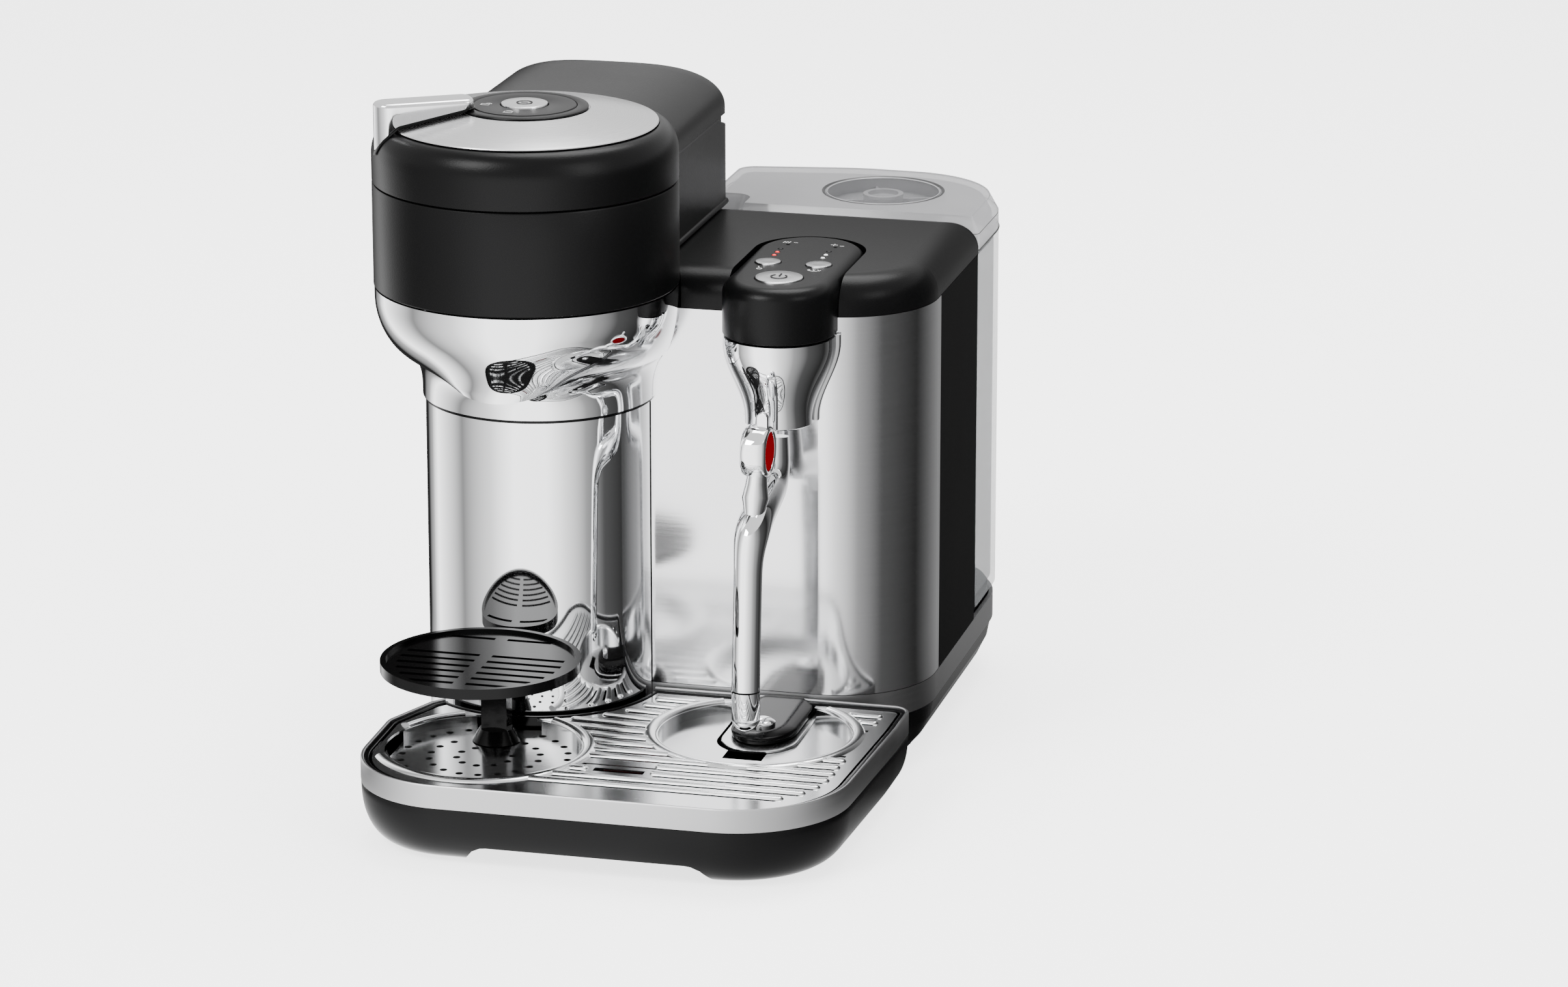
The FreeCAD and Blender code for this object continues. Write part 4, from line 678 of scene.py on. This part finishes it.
def makeKnob():
    # Chrome ring with a red insert at each side, a short neck and an upright tab
    x, centre = steam["x"], (knob["y"], knob["z"])
    half = [(9.2, 5.4), (9.6, 6.0), (10.5, 6.2), (11.5, 5.8), (12.2, 4.6), (12.55, 2.4)]
    barrel = [(0.02, x + 5.0), (9.2, x + 5.0)] + [(r, x + dx) for r, dx in half] + [(12.6, x)]
    barrel += [(r, x - dx) for r, dx in reversed(half)] + [(9.2, x - 5.0), (0.02, x - 5.0)]
    neck = tubeAt(x, [(-81.0, 164.0), (-83.0, 158.0), (-85.0, 152.0), (-87.5, 146.0), (-89.0, 141.0)],
                  lambda level: 4.6 + 1.9 * math.exp(-((level - 153) / 5) ** 2))
    middle, tab = x + knob["tabX"], []
    for y, wide in ((-82.2, 2.3), (-81.7, 2.6), (-79.8, 2.6), (-79.3, 2.3)):
        tab.append([(middle - wide, y, knob["tabFoot"]), (middle + wide, y, knob["tabFoot"])]
                   + [(middle + wide * math.cos(a), y, knob["tabArc"] + wide * math.sin(a))
                      for a in angles(math.pi, 16)])
    addPiece("wandKnob", [turnedAcross(centre, barrel, 72, looped=False), neck, skin(tab)], "chrome", "wand",
             ["wand_knob"], 50)
    face = [(0.02, 6.5), (4.5, 6.35), (7.6, 5.95), (9.1, 5.4), (9.1, 5.0), (0.02, 5.0)]
    inserts = [turnedAcross(centre, [(r, x + side * dx) for r, dx in face], 72, looped=False)
               for side in (-1, 1)]
    addPiece("knobInserts", inserts, "redInsert", "wand", ["knob_inserts"])


def makeFunnel():
    x, front, back = steam["x"], steam["frontY"], steam["panelY"] - 0.3
    top, low, thin, wide = steam["funnelTop"], steam["funnelLow"], steam["funnelRadius"], steam["radius"]

    def width(z):
        t = max(0.0, min(1.0, ((top - z) / (top - low) - 0.10) / 0.86))
        return wide - (wide - thin) * t * t * (3 - 2 * t)
    heights = [top - (top - low) * k / 36 for k in range(37)]
    rings = [bayRing(x, front, back, wide - 1.0, top)]
    rings += [bayRing(x, front, back, width(z), z - 0.35) for z in heights]
    rings += [bayRing(x, front, back, thin - inset, low + rise)
              for inset, rise in ((0.8, -1.0), (2.6, -1.0), (3.4, 3.0))]
    plate = []
    for z in heights:
        reach = width(z) + 1.9
        corners = ((-reach, 1.6), (0.5 - reach, 2.1), (reach - 0.5, 2.1), (reach, 1.6), (reach, 0),
                   (-reach, 0))
        plate.append([(x + dx, back - dy, z) for dx, dy in corners])
    addPiece("steamFunnel", [skin(rings), skin(plate)], "chrome", "chassis", ["steam_funnel"],
             50)


def roundedPath(corners, radius, steps):
    # Path through (y, z) corners, with each bend rounded by a quadratic curve
    path = [corners[0]]
    for before, corner, after in zip(corners, corners[1:], corners[2:]):
        ux, uz, wx, wz = *[a - b for a, b in zip(before, corner)], *[a - b for a, b in zip(after, corner)]
        lu, lw = math.hypot(ux, uz), math.hypot(wx, wz)
        reach = min(radius, lu * 0.48, lw * 0.48)
        start = (corner[0] + ux / lu * reach, corner[1] + uz / lu * reach)
        end = (corner[0] + wx / lw * reach, corner[1] + wz / lw * reach)
        for k in range(steps + 1):
            t = k / steps
            path.append(tuple((1 - t) ** 2 * a + 2 * t * (1 - t) * b + t * t * c
                              for a, b, c in zip(start, corner, end)))
    return path + [corners[-1]]


def tubeAt(x, path, radiusAt):
    rings = []
    for i, (y, z) in enumerate(path):
        ay, az = path[max(i - 1, 0)]
        by, bz = path[min(i + 1, len(path) - 1)]
        run = math.hypot(by - ay, bz - az)
        ny, nz = -(bz - az) / run, (by - ay) / run
        r = radiusAt(z)
        rings.append([(x + r * math.cos(a), y + ny * r * math.sin(a), z + nz * r * math.sin(a))
                      for a in angles(2 * math.pi, 48)[:-1]])
    return skin(rings)


wand = {"route": [(-44.6, 171.0), (-47.5, 150.0), (-97.0, 138.5), (-100.5, 100.0), (-103.5, 64.3)],
        "radius": 6.7, "bend": 19.0, "elbowZ": 139, "swell": 1.5, "neckZ": 166, "neckCut": 0.8}


def makeWand():
    def width(z):
        swell = wand["swell"] * math.exp(-((z - wand["elbowZ"]) / 10) ** 2)
        return wand["radius"] + swell - wand["neckCut"] * (z > wand["neckZ"])
    path = roundedPath(wand["route"], wand["bend"], 14)
    addPiece("wandTube", [tubeAt(steam["x"], path, width)], "chrome", "wand", ["wand_tube"],
             50)


# Drip tray
trayPlan = [(-108.4, -114.0, 14), (-106.0, -199.6, 48), (122.0, -200.2, 54), (127.4, -70.0, 180),
            (127.4, -36.2, 9), (-60.0, -36.2, 1), (-97.0, -84.0, 3)]
tray = {"bandLow": 28.2, "bandTop": 39.6, "columnRoom": 57.0, "gridTop": 38.0, "dishRadius": 46.5,
        "slotPitch": 9.55, "firstSlot": -43.5, "slotRows": 15, "slotLeft": -60, "slotRight": 116,
        "float": (16, -155), "floatRoom": (17, 7.2), "armRoom": 25, "archLeft": -40.0, "archRight": 62.0,
        "archTop": 10.0}
dishes = {"leftDish": (-54.1, -136.6), "rightDish": (63.1, -87.4)}


def columnCutter(radius):
    return cutter([turned(bowl["columnCentre"], [(radius, -5), (radius, 80)], 128, looped=False)])


def makeTray():
    low, top, room = tray["bandLow"], tray["bandTop"], tray["columnRoom"]
    band = addPiece("trayBand", [skin(levels(trayPlan, [
        (low, 0.5), (low + 0.3, 0.1), (low + 0.8, 0.0), (top - 0.8, 0.0), (top - 0.3, 0.15), (top, 0.5),
        (top, 1.2), (top - 0.4, 1.6), (low + 0.3, 1.6)], arcSteps=20), looped=True)], "bandSteel", None)
    carve(band, [columnCutter(room)])
    shellOut = [(low - 0.1, 0.4)] + [(low - 0.5 - 27.0 * math.sin(a), 0.2 + 16.5 * (1 - math.cos(a)) ** 1.15)
                                     for a in angles(math.pi / 2, 14)]
    shellIn = [(13.5, 16.0), (14.2, 13.0), (17.0, 8.5), (22.0, 5.4), (28.0, 4.4), (37.6, 4.2), (38.4, 3.9),
               (38.7, 3.4), (38.7, 2.3), (38.2, 1.8), (low + 0.1, 1.7)]
    shell = addPiece("trayShell", [skin(levels(trayPlan, shellIn + shellOut, arcSteps=20))],
                     "glossBlack", None)
    left, right, high = tray["archLeft"], tray["archRight"], tray["archTop"]
    rim = [(left - 11, -2), (right + 11, -2), (right + 3, 7.5), (right - 1, high - 0.4), (right - 4, high),
           (left + 4, high), (left + 1, high - 0.4), (left - 3, 7.5)]
    arch = skin([[(x, y, z) for x, z in rim] for y in (-215.0, -140.0)])
    carve(shell, [columnCutter(room), cutter([arch])])
    for obj, node, slotName in ((band, "tray_band", "satin_steel"), (shell, "tray_shell", "gloss_black")):
        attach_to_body(obj, "tray")
        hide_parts(node)


def insideRing(x, y, ring):
    hit = False
    for (x0, y0, _), (x1, y1, _) in zip(ring, ring[1:] + ring[:1]):
        if (y0 > y) != (y1 > y) and x < x0 + (x1 - x0) * (y - y0) / (y1 - y0):
            hit = not hit
    return hit


def slotSpans(y, edge):
    # Stretches of one row of slots that keep clear of the dishes, the column, the arm and the float
    floatX, floatY = tray["float"]
    wide, deep = tray["floatRoom"]

    def free(x):
        onDish = any(math.hypot(x - cx, y - cy) < tray["dishRadius"] + 5 for cx, cy in dishes.values())
        underArm = y > -108.0 and abs(x - steam["x"]) < tray["armRoom"]
        atFloat = abs(x - floatX) < wide and abs(y - floatY) < deep
        return (insideRing(x, y, edge) and not onDish and beyondColumn(x, y, 65.2)
                and not underArm and not atFloat and tray["slotLeft"] < x < tray["slotRight"])
    spans, start = [], None
    for k in range(-240, 250):
        x = k * 0.5
        if free(x) and start is None:
            start = x
        elif not free(x) and start is not None:
            spans.append((start, x - 0.5))
            start = None
    return [(a, b) for a, b in spans if b - a > 5]


def makeGrid():
    top = tray["gridTop"]
    edge = outlineRing(trayPlan, 0, 13.0)
    ridges = []
    for i in range(tray["slotRows"]):
        y = tray["firstSlot"] - tray["slotPitch"] * i
        for x0, x1 in slotSpans(y, edge):
            ends = [(cx, math.pi * (turn + k / 8)) for cx, turn in ((x1, -0.5), (x0, 0.5)) for k in range(9)]
            ridges.append(skin([
                [(cx + grow * math.cos(a), y + 3.1 + grow * math.sin(a), top + rise) for cx, a in ends]
                for grow, rise in ((2.5, -0.05), (2.3, 0.35), (1.9, 0.8), (1.3, 1.1), (0.6, 1.25))]))
    addPiece("gridRidges", ridges, "pressedSteel", "grid", sharp=60)
    inner, room = tray["dishRadius"], outlineRing(trayPlan, 0, 6.2)
    section = [(inner + out, top + rise) for out, rise in (
        (-1.1, -2.4), (-0.7, -0.2), (0.1, 0.9), (1.5, 1.6), (3.1, 1.6), (4.6, 0.9), (5.6, -0.1), (1.0, -0.4))]

    def clear(x, y):
        return insideRing(x, y, room) and beyondColumn(x, y, 60.5) and not onArm(x, y)
    rims = [part for spot in dishes.values() for part in sweptPart(spot, section, inner + 5.6, clear)]
    addPiece("dishRims", rims, "pressedSteel", "grid", sharp=60)


arm = {"x": 65.0, "half": 15.8, "front": -95.0, "length": 21.0, "seatHalf": 18.2, "seatFront": -102.4,
       "roomHalf": 19.5, "roomFront": -84.0}


def beyondColumn(x, y, radius):
    return math.hypot(x - bowl["columnCentre"][0], y - bowl["columnCentre"][1]) > radius


def onArm(x, y):
    return abs(x - arm["x"]) < arm["roomHalf"] and y > arm["roomFront"]


def sweptPart(centre, section, reach, keep, turns=180):
    # Turns a (radius, z) section round an axis, but only where the point at reach is kept
    around = angles(2 * math.pi, turns)[:-1]
    kept = [keep(centre[0] + reach * math.cos(a), centre[1] + reach * math.sin(a)) for a in around]
    start = kept.index(False)
    runs, run = [], []
    for k in range(start, start + turns + 1):
        if kept[k % turns]:
            a = around[k % turns]
            run.append([(centre[0] + r * math.cos(a), centre[1] + r * math.sin(a), z) for r, z in section])
        elif run:
            runs.append(run)
            run = []
    return [skin(rings) for rings in runs if len(rings) > 2]


def makeTrayRear():
    # Wall of the tray that curves round the foot of the column
    inner = outlineRing(trayPlan, 0, 1.9)
    section = [(57.1, 13.6), (58.8, 13.6), (58.8, 38.2), (58.4, 38.6), (57.5, 38.6), (57.1, 38.2)]
    addPiece("trayRear", sweptPart(bowl["columnCentre"], section, 58.0, lambda x, y: insideRing(x, y, inner)),
             "glossBlack", "tray")


def makeSensorArm():
    # Low black arm that lies across the right dish and carries the milk sensor, on a steel seat
    x, back = arm["x"], steam["panelY"] - 1.0

    def plan(wide, frontY, length, z, inset):
        front = [(x + (wide - inset) * math.cos(math.pi + a),
                  frontY + length + (length - inset) * math.sin(math.pi + a), z) for a in angles(math.pi, 40)]
        return front + [(x + wide - inset, back, z), (x - wide + inset, back, z)]
    lobe = [plan(arm["half"], arm["front"], arm["length"], z, inset) for z, inset in (
        (34.5, 1.2), (34.9, 0.3), (36.6, 0.0), (37.4, 0.3), (38.0, 1.3), (39.2, 4.6), (39.6, 6.0),
        (39.65, 7.5))]
    addPiece("sensorArm", [skin(lobe)], "glossBlack", "chassis", ["milk_sensor_arm"], 50)
    seat = [plan(arm["seatHalf"], arm["seatFront"], arm["seatHalf"], z, inset)
            for z, inset in ((33.25, 0.1), (34.1, 0.0), (34.35, 0.3))]
    addPiece("armSeat", [skin(seat)], "pressedSteel", "chassis")


makeTrayRear()
makeSensorArm()
makeSteamCap()
makeLights()
makeKeys()
makeKnob()
makeMarks()
makeFunnel()
makeWand()
makeTray()
makeGrid()
print("steam side and tray ready")


# Rear bay
tankPlan = [(3.0, 104.6, 4), (127.5, 104.6, 3), (127.5, 198.5, 54), (46.0, 201.2, 110), (-18.0, 190.0, 14),
            (-18.0, 123.0, 6), (3.0, 123.0, 4)]
tank = {"rim": 228.0, "lidTop": 244.0, "cap": (68.5, 151.0), "capRadius": 29.5}


def bead(corners, z, inset, size):
    # Fine round edge that follows an outline
    return skin([outlineRing(corners, z + size * math.sin(a), inset - size * math.cos(a), arcSteps=16)
                 for a in angles(2 * math.pi, 6)[:-1]], looped=True)


def makeTankEdges():
    rim, top, r = tank["rim"], tank["lidTop"], tank["capRadius"]
    addPiece("tankSeam", [bead(tankPlan, rim - 0.2, 0.35, 0.4)], "jointAndShadeGrey", "tank",
             sharp=80)
    # The lid's two beads are painted shade: dark lines standing for the shaded bevel edges of the lid, not
    # parts of it
    addPiece("lidEdgeShade", [bead(tankPlan, top - 0.5, 5.2, 0.3), bead(tankPlan, rim + 8.0, 0.75, 0.22)],
             "jointAndShadeGrey", "tank_top", sharp=80)
    rings = (("capRim", "jointAndShadeGrey", "tank_top", [(0.5, -0.5), (1.0, 0.1), (0.4, 0.3), (-0.4, -0.3)]),
             ("capEdge", "lidGrey", "filler_cap", [(-1.4, -0.5), (-1.0, -0.1), (-1.4, 0.1), (-1.9, -0.3)]))
    for name, finish, body, section in rings:
        profile = [(r + out, top + rise) for out, rise in section]
        addPiece(name, [turned(tank["cap"], profile, 96)], finish, body)


makeTankEdges()
print("tank edges ready")


# Studio and camera
studio = {"floor": (0.94, 0.94, 0.94), "floorSize": 6.0, "floorGlow": 2.6, "world": 1.15, "boards": 3.4,
          "wallRadius": 0.275, "wallHeight": 0.33, "aim": (0, 0, 0.15), "tones": [
              (0.0, 0.90), (0.04, 0.50), (0.085, 0.11), (0.15, 0.45), (0.20, 1.0), (0.27, 0.95), (0.32, 0.50),
              (0.38, 0.14), (0.44, 0.03), (0.53, 0.008), (0.60, 0.06), (0.70, 0.12), (0.78, 0.14),
              (0.82, 0.02), (0.93, 0.006), (0.97, 0.2), (1.0, 0.90)]}


def addFloor():
    mesh = bpy.data.meshes.new("studioFloor")
    shape = bmesh.new()
    bmesh.ops.create_grid(shape, x_segments=8, y_segments=8, size=studio["floorSize"])
    shape.to_mesh(mesh)
    shape.free()
    floor = bpy.data.objects.new("studioFloor", mesh)
    bpy.context.scene.collection.objects.link(floor)
    finish = Finish("studioPaper", Specular_IOR_Level=0.0, Emission_Strength=studio["floorGlow"])
    fibre = finish.noise(60, 3)
    paper = finish.blend(fibre, tuple(c * 0.99 for c in studio["floor"]), studio["floor"])
    finish.put("Base_Color", paper)
    finish.put("Emission_Color", paper)
    finish.put("Roughness", finish.spread(fibre, 0.6, 0.75))
    mesh.materials.append(finish.material)


def addWall():
    # Light and dark boards round the object, seen only in its reflections
    wide, high = studio["wallRadius"] / mm, studio["wallHeight"] / mm
    profile = ((1, 0.4), (wide * 0.9, 0.4), (wide, 8), (wide, high))
    points, faces = skin([circleRing((0, 0), r, z, 96) for r, z in profile], capped=False)
    mesh = bpy.data.meshes.new("studioBoards")
    mesh.from_pydata([(x * mm, y * mm, z * mm) for x, y, z in points], [], faces)
    wall = bpy.data.objects.new("studioBoards", mesh)
    bpy.context.scene.collection.objects.link(wall)
    finish = Finish("boards", Specular_IOR_Level=0.0, Roughness=1.0, Emission_Strength=studio["boards"])
    around = finish.node("ShaderNodeTexGradient", {"gradient_type": "RADIAL"}, {"Vector": finish.place},
                         "Fac")
    tone = finish.node("ShaderNodeValToRGB", {"stops": studio["tones"]}, {"Fac": around}, "Color")
    finish.put("Base_Color", (0.0, 0.0, 0.0))
    finish.put("Emission_Color", tone)
    mesh.materials.append(finish.material)
    for kind in ("camera", "diffuse", "shadow", "transmission"):
        setattr(wall, "visible_" + kind, False)


def addLight(name, place, size, power, height=None):
    data = bpy.data.lights.new(name, "AREA")
    data.shape = "RECTANGLE"
    data.size, data.size_y = size, height or size
    data.energy = power
    light = bpy.data.objects.new(name, data)
    bpy.context.scene.collection.objects.link(light)
    light.location = place
    light.rotation_euler = (Vector(studio["aim"]) - Vector(place)).to_track_quat("-Z", "Y").to_euler()


def addWorld():
    world = bpy.data.worlds.new("studio")
    bpy.context.scene.world = world
    world.use_nodes = True
    sky = world.node_tree.nodes["Background"]
    sky.inputs["Color"].default_value = (1, 1, 1, 1)
    sky.inputs["Strength"].default_value = studio["world"]


addFloor()
addWall()
addWorld()
addLight("keyLight", (-1.0, -1.6, 1.9), 1.0, 50)
addLight("fillLight", (1.8, -1.0, 1.2), 0.8, 14, 1.4)
addLight("topLight", (0.1, 0.7, 2.0), 1.2, 40)

cameraAt = {"place": (0.7045, -2.589, 0.918), "turn": 14.073, "tilt": 16.459, "lens": 133.49}
cameraData = bpy.data.cameras.new("productCamera")
cameraData.lens = cameraAt["lens"]
cameraData.sensor_width = 36
cameraData.clip_end = 50
camera = bpy.data.objects.new("productCamera", cameraData)
bpy.context.scene.collection.objects.link(camera)
camera.location = cameraAt["place"]
camera.rotation_euler = (math.radians(90 - cameraAt["tilt"]), 0, math.radians(cameraAt["turn"]))
bpy.context.scene.camera = camera

bpy.context.view_layer.update()
